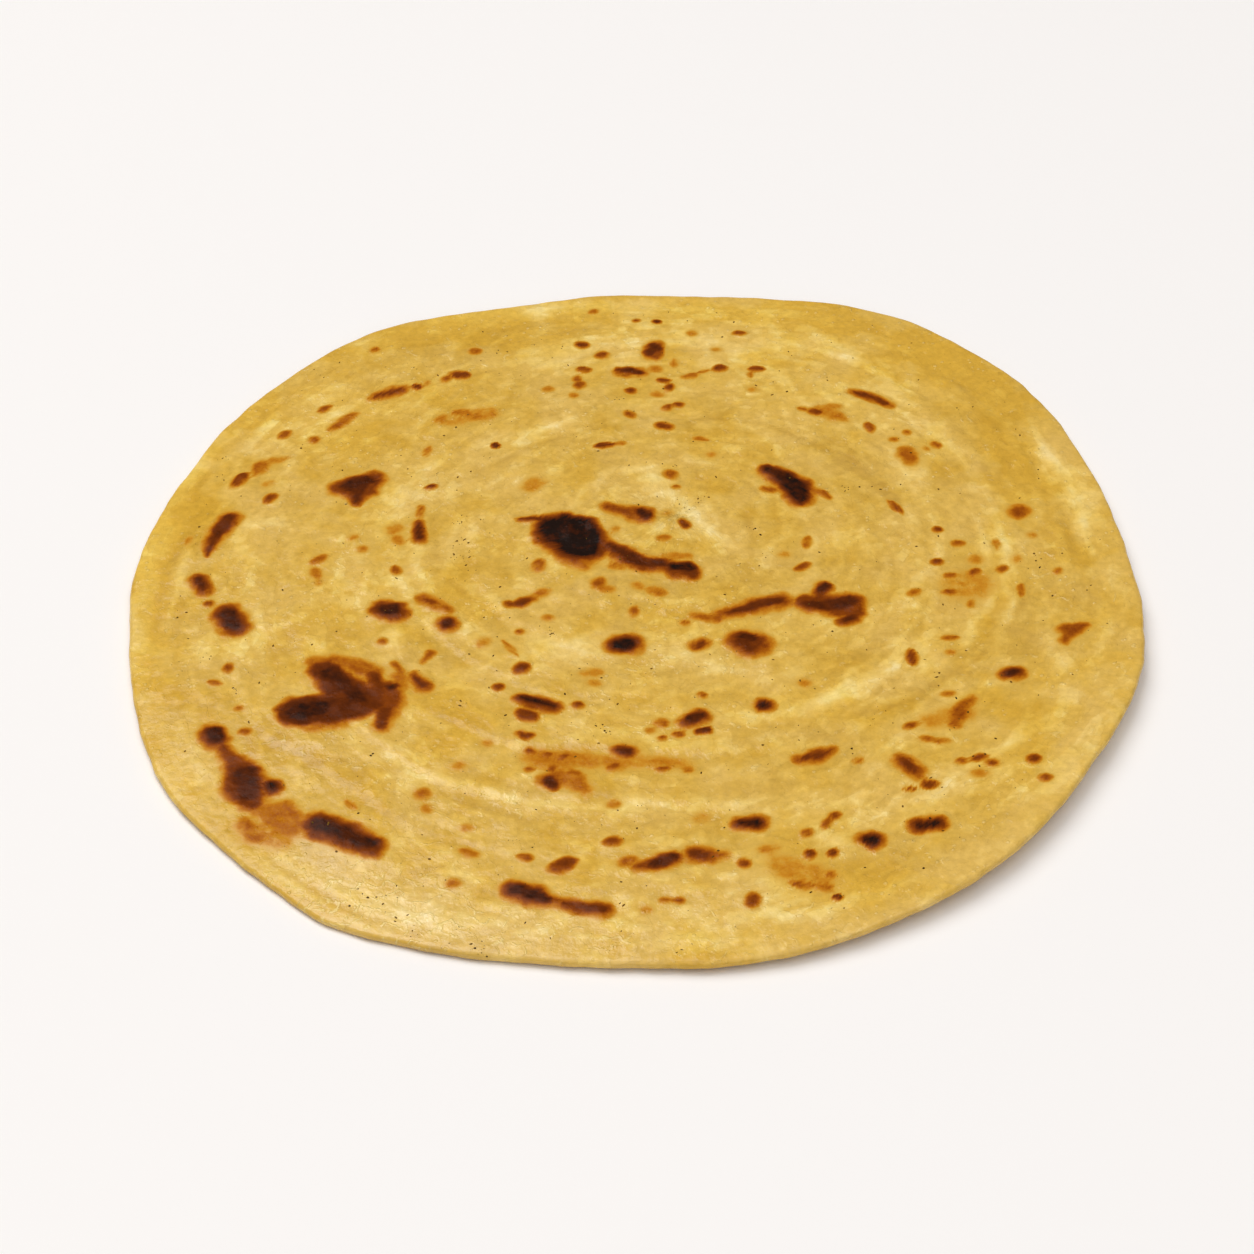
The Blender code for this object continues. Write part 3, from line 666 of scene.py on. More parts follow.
def area_field(place, areas):
    """The sum of ragged patches, each drawn out along its own direction."""
    x = place.list_x
    y = place.list_y
    ragged_x = x + 1.5 * PATCH(x, y, 7.0) + 0.9 * PATCH(x, y, 2.6)
    ragged_y = y + 1.5 * PATCH(y, x, 7.0) + 0.9 * PATCH(y, x, 2.6)
    field = np.zeros_like(x)
    for centre_x, centre_y, half_length, half_width, direction, strength in areas:
        turn = math.radians(direction)
        dx = ragged_x - centre_x
        dy = ragged_y - centre_y
        along = (dx * math.cos(turn) + dy * math.sin(turn)) / half_length
        across = (dy * math.cos(turn) - dx * math.sin(turn)) / half_width
        field += strength * np.exp(-(along**4 + across**4) ** 0.5 * 0.9)
    return field


# ---------------------------------------------------------------- folds, rim band and flakes

# Edges of layers and folds that can be followed by eye: height (below 0, a crease), half-width, and the path.
FOLD_LINES = (
    (-0.16, 0.8, ((78, 4), (76, -6), (72, -13), (66, -20), (58, -27), (50, -33), (40, -37))),
    (-0.12, 0.7, ((73, 4), (71, -5), (69, -12), (65, -18), (60, -22))),
    (0.14, 0.9, ((75, -1), (73, -10), (69, -17), (62, -23))),
    (-0.12, 0.7, ((8, 53), (18, 54), (27, 52), (35, 48), (43, 43), (49, 37), (53, 29))),
    (-0.08, 0.6, ((31, 51), (38, 49), (44, 45), (48, 41))),
    (-0.12, 0.7, ((10, 41), (13, 35), (15, 30), (20, 26), (23, 21), (24, 15), (22, 11), (18, 9))),
    (-0.08, 0.6, ((18, 39), (22, 35), (27, 28), (29, 20), (28, 12))),
    (0.16, 1.2, ((7, 32), (10, 26), (13, 21), (16, 16), (20, 13))),
    (-0.10, 0.7, ((-38, 33), (-32, 37), (-25, 42), (-18, 47), (-8, 51), (5, 53))),
    (0.10, 1.0, ((-46, 36), (-38, 42), (-28, 47), (-18, 51), (-6, 55), (6, 57))),
    (-0.10, 0.8, ((-39, 30), (-41, 22), (-40, 12), (-37, 3), (-31, -5), (-24, -13), (-22, -18))),
    (-0.10, 0.7, ((50, 73), (54, 71), (58, 66), (62, 60), (64, 52))),
    (0.12, 1.2, ((40, 80), (50, 74), (57, 67), (61, 58), (63, 50), (66, 42))),
    (-0.08, 0.6, ((70, 42), (73, 36), (74, 28), (75, 22))),
    (0.16, 1.1, ((73, 27), (74, 20), (75, 12), (74, 4), (73, -3))),
    (0.10, 0.9, ((68, 30), (70, 20), (70, 10), (68, 0), (64, -9))),
    (-0.14, 0.9, ((80, 53), (82, 44), (85, 34), (87, 24), (88, 12))),
    (0.14, 1.0, ((83, 54), (86, 44), (89, 34), (91, 22), (92, 8))),
    (0.10, 1.0, ((57, 33), (60, 27), (62, 20), (61, 10), (56, 2), (53, -6))),
    (0.14, 1.3, ((60, -10), (55, -17), (49, -23), (42, -29), (32, -34), (22, -36))),
    (0.10, 0.8, ((57, -6), (53, -13), (46, -20), (38, -26), (28, -30))),
    (-0.10, 0.7, ((60, -14), (55, -21), (49, -27), (42, -33), (30, -38), (18, -40))),
    (0.12, 1.0, ((-50, -45), (-40, -50), (-28, -56), (-15, -60), (0, -61), (16, -60), (32, -57), (46, -50))),
    (-0.08, 0.7, ((-46, -52), (-34, -58), (-20, -63), (-4, -65), (14, -63), (30, -61), (44, -54))),
    (0.10, 0.8, ((-64, -42), (-57, -45), (-50, -50), (-40, -55))),
    (0.10, 0.8, ((76, -35), (70, -44), (62, -51), (52, -58))),
    (-0.08, 0.7, ((-4, -80), (8, -83), (20, -86), (32, -85), (42, -81))),
    (0.10, 0.9, ((-2, -78), (8, -80), (20, -83), (30, -83))),
    (-0.14, 0.8, ((-68, -70), (-62, -76), (-54, -82), (-46, -87), (-36, -91))),
    (0.16, 0.8, ((-68, -74), (-60, -80), (-52, -86), (-44, -90), (-32, -94), (-18, -96))),
    (0.12, 0.8, ((-84, 34), (-81, 44), (-77, 54), (-70, 62), (-60, 69), (-48, 74))),
    (-0.12, 0.8, ((-91, 26), (-89, 36), (-85, 46), (-79, 56), (-72, 66), (-62, 75))),
    (0.10, 0.8, ((-92, -12), (-91, 0), (-90, 12), (-88, 24))),
    (-0.10, 0.8, ((-94, -16), (-94, -4), (-93, 8), (-91, 20))),
)


PATH_SPACING = 0.5


def smooth_path(points):
    """Points about PATH_SPACING millimetres apart along a smooth curve through the given ones."""
    knots = np.array((points[0],) + points + (points[-1],), dtype=float)
    pieces = []
    for before, start, end, after in zip(knots, knots[1:], knots[2:], knots[3:]):
        count = max(2, int(np.hypot(*(end - start)) / PATH_SPACING))
        t = (np.arange(count) / count)[:, None]
        bend = (after - 3 * end + 3 * start - before) * t**3
        bend = bend + (2 * before - 5 * start + 4 * end - after) * t**2
        pieces.append(start + 0.5 * (bend + (end - before) * t))
    return np.concatenate(pieces + [knots[-1:]])


def fold_field(place):
    """Height of the folds and creases at each point, in millimetres; they come and go along their length."""
    x = place.list_x + 0.5 * FRAY(place.x, place.y, 6 * MM)
    y = place.list_y + 0.5 * FRAY(place.y, place.x, 6 * MM)
    strength = np.clip(0.75 + 0.8 * FADE(place.x, place.y, 8 * MM), 0.1, 1.3)
    field = np.zeros_like(x)
    for height, half_width, points in FOLD_LINES:
        path = smooth_path(points)
        low = path.min(axis=0) - 3 * half_width
        high = path.max(axis=0) + 3 * half_width
        near = np.nonzero((x > low[0]) & (x < high[0]) & (y > low[1]) & (y < high[1]))[0]
        gap = np.hypot(x[near, None] - path[:, 0], y[near, None] - path[:, 1])
        closest = gap.argmin(axis=1)
        ends = smooth_step(np.minimum(closest, len(path) - 1 - closest) / 8)
        field[near] += height * ends * np.exp(-((gap.min(axis=1) / half_width) ** 2))
    return field * strength


# How wide the smooth golden band inside the rim is, in millimetres, by direction in degrees.
BAND_WIDTHS = (
    (0, 4), (30, 8), (45, 14), (70, 11), (95, 7), (125, 10), (160, 7), (200, 6), (230, 4), (270, 3), (320, 5),
)


def band_field(place):
    """1 at the rim, falling to 0 where the coil begins."""
    angles, widths = zip(*BAND_WIDTHS)
    degrees = np.mod(np.degrees(place.angle), 360)
    width = np.interp(degrees, angles + (360,), widths + (widths[0],))
    inside = (1 - place.share) * MEAN_REACH / MM + 2.2 * PATCH(place.x, place.y, 16 * MM)
    return smooth_step((width - inside) / 4 + 0.5)


def flake_field(place):
    """1 where thin layers have lifted and 0 where they are fused, in ragged patches drawn along the coil."""
    drawn = 0.50 * streaks(place, STREAK, 3.6 * MM, 7 * MM) + 0.30 * streaks(place, PATCH, 1.7 * MM, 3 * MM)
    ragged = 0.55 * FRAY(place.x, place.y, 5.5 * MM) + 0.35 * FRAY(place.y, place.x, 2.4 * MM)
    return smooth_step((drawn + ragged - 0.02) / 0.26)


def pale_field(place, flakes, folds):
    """Dough lightness: -1 fused and greyer, 0 plain, 1 floury, with painted shade along the coil's creases.
    """
    turn = np.mod(turn_count(place), 1.0)
    coil = smooth_step((COIL_END_SHARE - place.share) / 0.08)
    # Painted shade: the dough is darkened along the step down at the end of each turn of the coil.
    crease = np.exp(-(((turn - 0.93) / 0.05) ** 2)) * coil * (0.5 + 0.5 * FADE(place.y, place.x, 15 * MM))
    blotch = PATCH(place.x, place.y, 13 * MM) + 0.6 * PATCH(place.y, place.x, 5 * MM)
    inner = 1 - 0.7 * band_field(place)
    # Folds also colour the dough, paler along raised ones and darker along sunken ones.
    return (
        inner * (0.40 * (flakes - 0.5) + 0.16 * blotch)
        - 0.12 * crease
        + 4.0 * folds
        + 0.9 * area_field(place, PALE_AREAS)
        - 0.12
    )


def warm_field(place):
    """Dough colour: 0 plain, 1 deep golden."""
    blotch = PATCH(place.y, place.x, 10 * MM) + 0.5 * PATCH(place.x, place.y, 3.5 * MM)
    return 0.50 * blotch + 0.40 * band_field(place) + 1.25 * area_field(place, WARM_AREAS) - 0.12


# ---------------------------------------------------------------- the whole surface

def blister_relief(place, toast):
    """Browned spots stand up as low blisters, and the burnt ones are wrinkled on top."""
    x, y = place.x, place.y
    wrinkles = LUMPS(x, y, 2.4 * MM) + 0.6 * LUMPS(y, x, 1.3 * MM)
    uneven = np.clip(0.7 + 0.9 * FADE(x, y, 5 * MM), 0.2, 1.3)
    blister = uneven * BLISTER_HEIGHT * smooth_step(toast / 0.6)
    return blister + WRINKLE_HEIGHT * wrinkles * smooth_step((toast - 0.35) / 0.3)


def top_height(place, toast, flakes, folds):
    """The crowned top with all its relief, which fades out at the rounded rim."""
    crown = RIM_THICKNESS + (MIDDLE_THICKNESS - RIM_THICKNESS) * (1 - place.share**4)
    edge = smooth_step((1 - place.share) / 0.05)
    relief = coil_relief(place) + blister_relief(place, toast) + (0.35 + 0.65 * edge) * dough_relief(place)
    relief = relief + edge * (MM * folds + FLAKE_HEIGHT * flakes)
    return rim_lift(place) + crown + relief


def disc_grid(cells):
    """A square grid of points bent into a unit disc, as (x, y), each (cells + 1) by (cells + 1)."""
    side = np.linspace(-1, 1, cells + 1)
    a, b = np.meshgrid(side, side, indexing="ij")
    wide = np.abs(a) > np.abs(b)
    radius = np.where(wide, a, b)
    share = np.where(wide, b, a) / np.where(radius == 0, 1, radius)
    angle = np.where(wide, math.pi / 4 * share, math.pi / 2 - math.pi / 4 * share)
    return radius * np.cos(angle), radius * np.sin(angle)


def grid_faces(cells, first, flip):
    """Quads of a (cells + 1) by (cells + 1) grid whose points start at index first."""
    index = first + np.arange((cells + 1) ** 2).reshape(cells + 1, cells + 1)
    quads = np.stack([index[:-1, :-1], index[1:, :-1], index[1:, 1:], index[:-1, 1:]], axis=-1).reshape(-1, 4)
    return quads[:, ::-1] if flip else quads


def grid_edge(cells, first):
    """The same grid's border as a counter-clockwise loop from -45 degrees."""
    index = first + np.arange((cells + 1) ** 2).reshape(cells + 1, cells + 1)
    return np.concatenate([index[-1, :-1], index[:0:-1, -1], index[0, :0:-1], index[:-1, 0]])


# Small swellings and dents of the rim beyond the solid's: direction and half-width in degrees, height in mm.
RIM_WAVES = (
    (35, 12, 0.3),
    (48, 4, -0.5),
    (62, 12, 0.6),
    (150, 4, 0.9),
    (161, 5, 0.8),
    (190, 12, -0.25),
    (290, 50, 0.45),
    (338, 6, 0.4),
)


def rim_edge(angle):
    """How far out the hand-pressed rim reaches, with its small waves."""
    wave = 0.35 + 0.32 * RIPPLE(70 * np.cos(angle), 70 * np.sin(angle), 9.0)
    wave = wave + 0.17 * RIPPLE(70 * np.sin(angle), 70 * np.cos(angle), 3.2)
    degrees = np.mod(np.degrees(angle), 360)
    for direction, half_width, height in RIM_WAVES:
        wave = wave + height * np.exp(-(((degrees - direction) / half_width) ** 2))
    return round_lookup(RIM_REACH, angle) + MM * wave


def disc_places(cells):
    """Places of a grid that fills the outline up to where the rim rounds over, and each point's direction."""
    x, y = (value.ravel() for value in disc_grid(cells))
    angle = np.arctan2(y, x)
    radius = np.hypot(x, y) * (rim_edge(angle) - RIM_BEND)
    return Place(radius * np.cos(angle), radius * np.sin(angle)), angle


def top_points():
    """The points of the browned top, and each one's direction from the middle."""
    place, angle = disc_places(TOP_CELLS)
    toast = browning(place, TOAST_STROKES, TOAST_SPOTS)
    height = top_height(place, toast, flake_field(place), fold_field(place))
    return np.stack([place.x, place.y, height], axis=-1), angle


def rim_rows(edge, angle):
    """Rows of points round the rim, each below the last, from the top's border to the underside's."""
    floor_height = rim_lift(Place(edge[:, 0], edge[:, 1]))
    middle = (edge[:, 2] + floor_height) / 2
    half = (edge[:, 2] - floor_height) / 2
    rows = []
    for row in range(1, RIM_ROWS + 1):
        tilt = math.pi * row / (RIM_ROWS + 1)
        layer = RIM_LAYER_HEIGHT * RIPPLE(angle * 18 + row * 1.9, np.full_like(angle, row * 2.3), 1.0)
        reach = rim_edge(angle) - RIM_BEND + (RIM_BEND + layer) * math.sin(tilt)
        height = middle + half * math.cos(tilt)
        rows.append(np.stack([reach * np.cos(angle), reach * np.sin(angle), height], axis=-1))
    return rows


def underside_points():
    place = disc_places(LOW_CELLS)[0]
    dimple = UNDERSIDE_DIMPLE * np.abs(LUMPS(place.x, place.y, 9 * MM))
    return np.stack([place.x, place.y, rim_lift(place) + dimple], axis=-1)


def seam_triangles(fine, coarse):
    """Triangles between the rim's last row and the underside's border, which has half as many points."""
    middle = fine[1::2]
    following = np.roll(fine, -2)[::2]
    after = np.roll(coarse, -1)
    strip = [(fine[::2], coarse, middle), (middle, coarse, after), (middle, after, following)]
    return np.concatenate([np.stack(corners, axis=-1) for corners in strip])


def add_object(name, data):
    thing = bpy.data.objects.new(name, data)
    bpy.context.scene.collection.objects.link(thing)
    return thing


def add_smooth_mesh(name, points, faces):
    mesh = bpy.data.meshes.new(name)
    mesh.from_pydata(points, [], faces)
    mesh.shade_smooth()
    return add_object(name, mesh)


def build_bread():
    """The bread as one closed mesh, its points, and how many of them are the top's and the rim's."""
    top, angle = top_points()
    edge = grid_edge(TOP_CELLS, 0)
    points = np.concatenate([top] + rim_rows(top[edge], angle[edge]) + [underside_points()])
    loops = [edge]
    for row in range(RIM_ROWS):
        loops.append(len(top) + row * len(edge) + np.arange(len(edge)))
    upper_count = len(top) + RIM_ROWS * len(edge)

    quads = [grid_faces(TOP_CELLS, 0, False)]
    for upper, lower in zip(loops, loops[1:]):
        quads.append(np.stack([upper, lower, np.roll(lower, -1), np.roll(upper, -1)], axis=-1))
    quads.append(grid_faces(LOW_CELLS, upper_count, True))
    triangles = seam_triangles(loops[-1], grid_edge(LOW_CELLS, upper_count))
    faces = np.concatenate(quads).tolist() + triangles.tolist()
    return add_smooth_mesh("paratha_bread", points.tolist(), faces), points, upper_count


# The underside's spots are scattered by rule: their number, how far out they lie, and their half-widths in
# millimetres with the chance of each.
UNDERSIDE_SEED = 41
UNDERSIDE_SPOTS = 90
UNDERSIDE_REACH = 88
UNDERSIDE_WIDTHS = (1.0, 1.4, 2.4, 4.6)
UNDERSIDE_CHANCES = (0.42, 0.28, 0.2, 0.1)
# Half-width above which such a spot counts as large and is browned more.
LARGE_SPOT = 2


def underside_spots():
    """Browned spots for the side that lies on the table."""
    random = np.random.default_rng(UNDERSIDE_SEED)
    spots = []
    for _ in range(UNDERSIDE_SPOTS):
        reach = UNDERSIDE_REACH * math.sqrt(random.uniform())
        way = random.uniform(0, 2 * math.pi)
        width = random.choice(UNDERSIDE_WIDTHS, p=UNDERSIDE_CHANCES)
        length = width * random.uniform(1.0, 1.9)
        heat = random.uniform(0.4, 0.7) + 0.28 * (width > LARGE_SPOT)
        direction = random.uniform(0, 180)
        spots.append((reach * math.cos(way), reach * math.sin(way), length, width, direction, heat))
    return spots


def store(mesh, name, values):
    """Keeps a number, or a vector, for every point of the mesh."""
    kind, key = ("FLOAT", "value") if values.ndim == 1 else ("FLOAT_VECTOR", "vector")
    attribute = mesh.attributes.new(name, kind, "POINT")
    attribute.data.foreach_set(key, values.astype(np.float32).ravel())


# In the "coil" vector, x is the distance from the coil's eye and each turn is a loop of this radius.
COIL_LOOP_RADIUS = 0.040


def paint_bread(bread, points, upper_count):
    """Stores browning, dough tone and coil direction at every point."""
    place = Place(points[:, 0], points[:, 1])
    above = Place(points[:upper_count, 0], points[:upper_count, 1])
    below = Place(points[upper_count:, 0], points[upper_count:, 1])
    toast_above = browning(above, TOAST_STROKES, TOAST_SPOTS)
    pale_above = pale_field(above, flake_field(above), fold_field(above))
    toast_below = browning(below, (), underside_spots())
    pale_below = 0.25 * PATCH(below.x, below.y, 15 * MM) + 0.4 * (flake_field(below) - 0.5)
    loop = COIL_LOOP_RADIUS * np.stack([np.cos(place.angle), np.sin(place.angle)])
    store(bread.data, "toast", np.concatenate([toast_above, toast_below]))
    store(bread.data, "pale", np.concatenate([pale_above, pale_below]))
    store(bread.data, "warm", warm_field(place))
    store(bread.data, "fat_and_sheen", np.clip(area_field(place, FAT_AND_SHEEN_AREAS), -1, 1))
    store(bread.data, "coil", np.stack([place.share * MEAN_REACH, *loop], axis=-1))


# ---------------------------------------------------------------- burnt specks

SPECK_SEED = 23
SPECKS = 720
# How far out the scattered specks go, as a share of the rim's reach, and their half-size in millimetres.
SPECK_REACH_SHARE = 0.965
SPECK_LEAST_SIZE = 0.06
SPECK_SIZE_SPREAD = 0.075
# Rings and sides of one speck's rough lump.
SPECK_RINGS = 3
SPECK_SIDES = 6

# Places where specks gather: x, y, spread in millimetres, count.
SPECK_CLUSTERS = (
    (-35, 13.6, 1.6, 14), (-35, 9.5, 1.8, 16), (-36, 20.2, 1.4, 9), (-31, 20.5, 1.0, 4), (-86, 42, 0.9, 6),
    (-86.5, 36, 0.9, 5), (-70, 45.5, 0.9, 5), (-40.8, 35.8, 0.7, 6), (-27.5, -93.6, 1.5, 14),
    (-7.0, -40.5, 2.4, 16), (-16.2, -14.0, 1.0, 12), (-16.8, -12.0, 0.8, 5), (-3.5, 61, 0.9, 6),
    (12, 27, 2.6, 14), (24, 17, 2.4, 9), (26, 10, 0.8, 4), (8.4, 38.3, 0.6, 5), (-32.0, -33.6, 0.8, 6),
    (-22, -68.6, 1.0, 5), (-77, -29, 1.4, 6), (-83, -20, 1.4, 6), (-48, -81, 3.0, 8), (-40, -90, 2.4, 8),
    (-32, -92, 2.4, 8), (8, -95, 1.6, 5), (58, -26, 3.0, 8), (44, -36, 4.0, 10), (62, -39, 3.0, 8),
    (35.6, -83, 0.7, 4), (17, -50, 0.5, 3), (38.2, -13, 0.5, 3), (92, 14, 1.5, 5), (80, 8, 3.0, 8),
    (44, 31, 1.4, 6), (69, 57, 1.4, 5), (-78, 72, 2.0, 5), (-67, 72, 3.0, 8), (-46, 73, 2.5, 6),
    (-88, -6, 3.0, 6),
)


def speck_places(random):
    """Where each speck lies and its half-size, in metres."""
    ways = random.uniform(0, 2 * math.pi, SPECKS)
    reach = np.sqrt(random.uniform(0, 1, SPECKS)) * SPECK_REACH_SHARE
    spread = reach * (round_lookup(RIM_REACH, ways) - RIM_BEND)
    places = [np.stack([spread * np.cos(ways), spread * np.sin(ways)], axis=-1)]
    for x, y, size, count in SPECK_CLUSTERS:
        places.append((np.array((x, y)) + LIST_CENTRE + random.normal(0, size / 1.5, (count, 2))) * MM)
    places = np.concatenate(places)
    sizes = SPECK_LEAST_SIZE + SPECK_SIZE_SPREAD * random.exponential(1.0, len(places)).clip(0, 3.0)
    return places, sizes * MM


def speck_points(random, x, y, surface, size):
    """One small rough lump pressed into the surface: its tip, its uneven rings and its foot."""
    stretch = random.uniform(1.0, 1.6)
    turn = random.uniform(0, math.pi)
    points = [(x, y, surface + 0.45 * size)]
    for ring in range(SPECK_RINGS):
        tilt = math.pi / 2 * (ring + 1) / SPECK_RINGS
        for side in range(SPECK_SIDES):
            way = 2 * math.pi * side / SPECK_SIDES
            bump = size * random.uniform(0.75, 1.2)
            along = bump * stretch * math.sin(tilt) * math.cos(way)
            across = bump / stretch * math.sin(tilt) * math.sin(way)
            points.append((
                x + along * math.cos(turn) - across * math.sin(turn),
                y + along * math.sin(turn) + across * math.cos(turn),
                surface + size * (0.65 * math.cos(tilt) - 0.2),
            ))
    return points + [(x, y, surface - 0.6 * size)]


def speck_faces(first):
    """The faces of the lump whose points start at index first."""
    last = first + 1 + SPECK_RINGS * SPECK_SIDES
    faces = []
    for side in range(SPECK_SIDES):
        after = (side + 1) % SPECK_SIDES
        faces.append((first, first + 1 + side, first + 1 + after))
        for ring in range(SPECK_RINGS - 1):
            upper = first + 1 + ring * SPECK_SIDES
            lower = upper + SPECK_SIDES
            faces.append((upper + side, lower + side, lower + after, upper + after))
        faces.append((last - SPECK_SIDES + side, last, last - SPECK_SIDES + after))
    return faces


def build_specks(bread):
    """Charred flour grains, all in one mesh."""
    random = np.random.default_rng(SPECK_SEED)
    tree = surface_tree(bread.data)
    points = []
    faces = []
    for (x, y), size in zip(*speck_places(random)):
        hit = tree.ray_cast(Vector((x, y, 0.05)), Vector((0, 0, -1)))[0]
        if hit is not None:
            faces += speck_faces(len(points))
            points += speck_points(random, x, y, hit.z, size)
    return add_smooth_mesh("burnt_specks", points, faces)


# ---------------------------------------------------------------- materials

def srgb(red, green, blue):
    """A colour given as 0-255 screen values, as the linear RGBA that shaders take."""
    def linear(value):
        value /= 255
        return value / 12.92 if value <= 0.04045 else ((value + 0.055) / 1.055) ** 2.4
    return (linear(red), linear(green), linear(blue), 1.0)


class Nodes:
    """Short calls for building one material's nodes. A value is a number, a tuple or a node's socket."""

    def __init__(self, name):
        self.material = bpy.data.materials.new(name)
        self.material.use_nodes = True
        self.tree = self.material.node_tree
        self.shader = self.tree.nodes["Principled BSDF"]

    def feed(self, node, inputs):
        for key, value in inputs.items():
            if isinstance(value, bpy.types.NodeSocket):
                self.tree.links.new(value, node.inputs[key])
            else:
                node.inputs[key].default_value = value

    def new(self, kind, inputs=None, **settings):
        node = self.tree.nodes.new(kind)
        for key, value in settings.items():
            setattr(node, key, value)
        self.feed(node, inputs or {})
        return node

    def attribute(self, name, output="Fac"):
        return self.new("ShaderNodeAttribute", attribute_name=name).outputs[output]

    def math(self, operation, *values):
        return self.new("ShaderNodeMath", dict(enumerate(values)), operation=operation).outputs[0]

    def plus(self, *values):
        total = values[0]
        for value in values[1:]:
            total = self.math("ADD", total, value)
        return total

    def times(self, first, second):
        return self.math("MULTIPLY", first, second)

    def scaled(self, value, factor, offset):
        return self.math("MULTIPLY_ADD", value, factor, offset)

    def centred(self, value):
        """A value that runs from 0 to 1, moved to run from -0.5 to 0.5."""
        return self.math("SUBTRACT", value, 0.5)

    def distance_from(self, value, centre):
        return self.math("ABSOLUTE", self.math("SUBTRACT", value, centre))

    def steps(self, value, low, high):
        """0 at low and 1 at high, smooth between them and level beyond."""
        inputs = {"Value": value, "From Min": low, "From Max": high}
        return self.new("ShaderNodeMapRange", inputs, interpolation_type="SMOOTHSTEP").outputs["Result"]

    def noise(self, vector, scale, detail=3.0, roughness=0.5, distortion=0.0):
        shape = {"Scale": scale, "Detail": detail, "Roughness": roughness, "Distortion": distortion}
        return self.new("ShaderNodeTexNoise", {"Vector": vector, **shape}).outputs["Fac"]

    def centred_noise(self, vector, scale, detail=3.0, roughness=0.6):
        return self.centred(self.noise(vector, scale, detail, roughness))

    def ridges(self, vector, scale):
        """Thin crooked crests, from 0 between them to 1."""
        inputs = {"Vector": vector, "Scale": scale, "Detail": 1.0, "Offset": 1.0, "Gain": 1.0}
        crests = self.new("ShaderNodeTexNoise", noise_type="RIDGED_MULTIFRACTAL", normalize=False)
        self.feed(crests, inputs)
        return crests.outputs["Fac"]

    def cells(self, vector, scale):
        """A random value for each small ragged patch."""
        patches = self.new("ShaderNodeTexVoronoi", {"Vector": vector, "Scale": scale})
        return self.new("ShaderNodeSeparateColor", {"Color": patches.outputs["Color"]}).outputs["Red"]

    def beads(self, vector, scale, size):
        """Small round dots, one in most cells: 1 in the middle of each."""
        dots = self.new("ShaderNodeTexVoronoi", {"Vector": vector, "Scale": scale})
        return self.steps(dots.outputs["Distance"], size, 0.4 * size)

    def shifted(self, vector, scale, reach):
        """The vector moved about by noise, to bend straight edges."""
        noise = self.new("ShaderNodeTexNoise", {"Vector": vector, "Scale": scale, "Detail": 3.0})
        inputs = {0: noise.outputs["Color"], 1: (reach, reach, reach), 2: vector}
        return self.new("ShaderNodeVectorMath", inputs, operation="MULTIPLY_ADD").outputs["Vector"]

    def ramp(self, factor, stops):
        node = self.new("ShaderNodeValToRGB", {"Fac": factor})
        elements = node.color_ramp.elements
        for index, (position, colour) in enumerate(stops):
            element = elements[index] if index < 2 else elements.new(position)
            element.position = position
            element.color = colour
        return node.outputs["Color"]

    def mix(self, factor, first, second, blend="MIX"):
        node = self.new("ShaderNodeMix", data_type="RGBA", blend_type=blend)
        colours = [index for index, socket in enumerate(node.inputs) if socket.type == "RGBA"]
        self.feed(node, {"Factor": factor, colours[0]: first, colours[1]: second})
        return [socket for socket in node.outputs if socket.type == "RGBA"][0]


# Dough from fused and grey to floury, by the "pale" value.
DOUGH_SHADES = (
    (0.0, srgb(196, 154, 66)),
    (0.25, srgb(212, 171, 79)),
    (0.50, srgb(223, 183, 92)),
    (0.75, srgb(235, 200, 115)),
    (1.0, srgb(246, 221, 154)),
)
# What the dough's colour is multiplied by, from less yellow to deep golden, by the "warm" value.
GOLDEN_TINTS = (
    (0.0, (1.0, 1.0, 1.0, 1.0)),
    (0.5, (0.985, 0.965, 0.77, 1.0)),
    (1.0, (0.93, 0.85, 0.43, 1.0)),
)
# A griddle mark from its orange edge to its charred middle, by the "toast" value.
TOAST_SHADES = (
    (0.0, srgb(216, 172, 78)),
    (0.20, srgb(211, 160, 56)),
    (0.30, srgb(203, 141, 34)),
    (0.40, srgb(188, 116, 14)),
    (0.50, srgb(164, 88, 3)),
    (0.61, srgb(134, 62, 0)),
    (0.72, srgb(108, 46, 0)),
    (0.84, srgb(86, 34, 0)),
    (0.94, srgb(60, 22, 2)),
    (1.0, srgb(28, 13, 6)),
)
SPECK_SHADES = ((0.35, srgb(62, 42, 10)), (0.65, srgb(128, 92, 32)))
# Pale cream mixed into the dough where fat has pooled, as painted sheen.
PAINTED_SHEEN_COLOUR = srgb(236, 212, 150)
# Pale cream painted on threads and beads of fat, as painted glints.
PAINTED_GLINT_COLOUR = srgb(250, 228, 150)


def lifted_layers(n, place, coil):
    """Small patches of lifted layer: ragged flakes, and scales that follow the coil."""
    scales = n.steps(n.cells(n.shifted(coil, 420, 0.0022), 520), 0.66, 0.70)
    flakes = n.steps(n.cells(n.shifted(place, 300, 0.0036), 300), 0.62, 0.65)
    return flakes, scales


def fat_crests_and_glints(n, place, fat_and_sheen):
    """Crooked threads and small beads of fat: the masks for their raised crests and for their painted glints.
    """
    threads = n.steps(n.ridges(n.shifted(place, 340, 0.003), 330), 1.02, 1.36)
    where = n.plus(n.noise(place, 260, 3.0, 0.6), n.times(fat_and_sheen, 0.14))
    threads = n.times(threads, n.steps(where, 0.56, 0.68))
    beads = n.times(n.beads(place, 560, 0.26), n.steps(n.noise(place, 150), 0.52, 0.62))
    return threads, beads


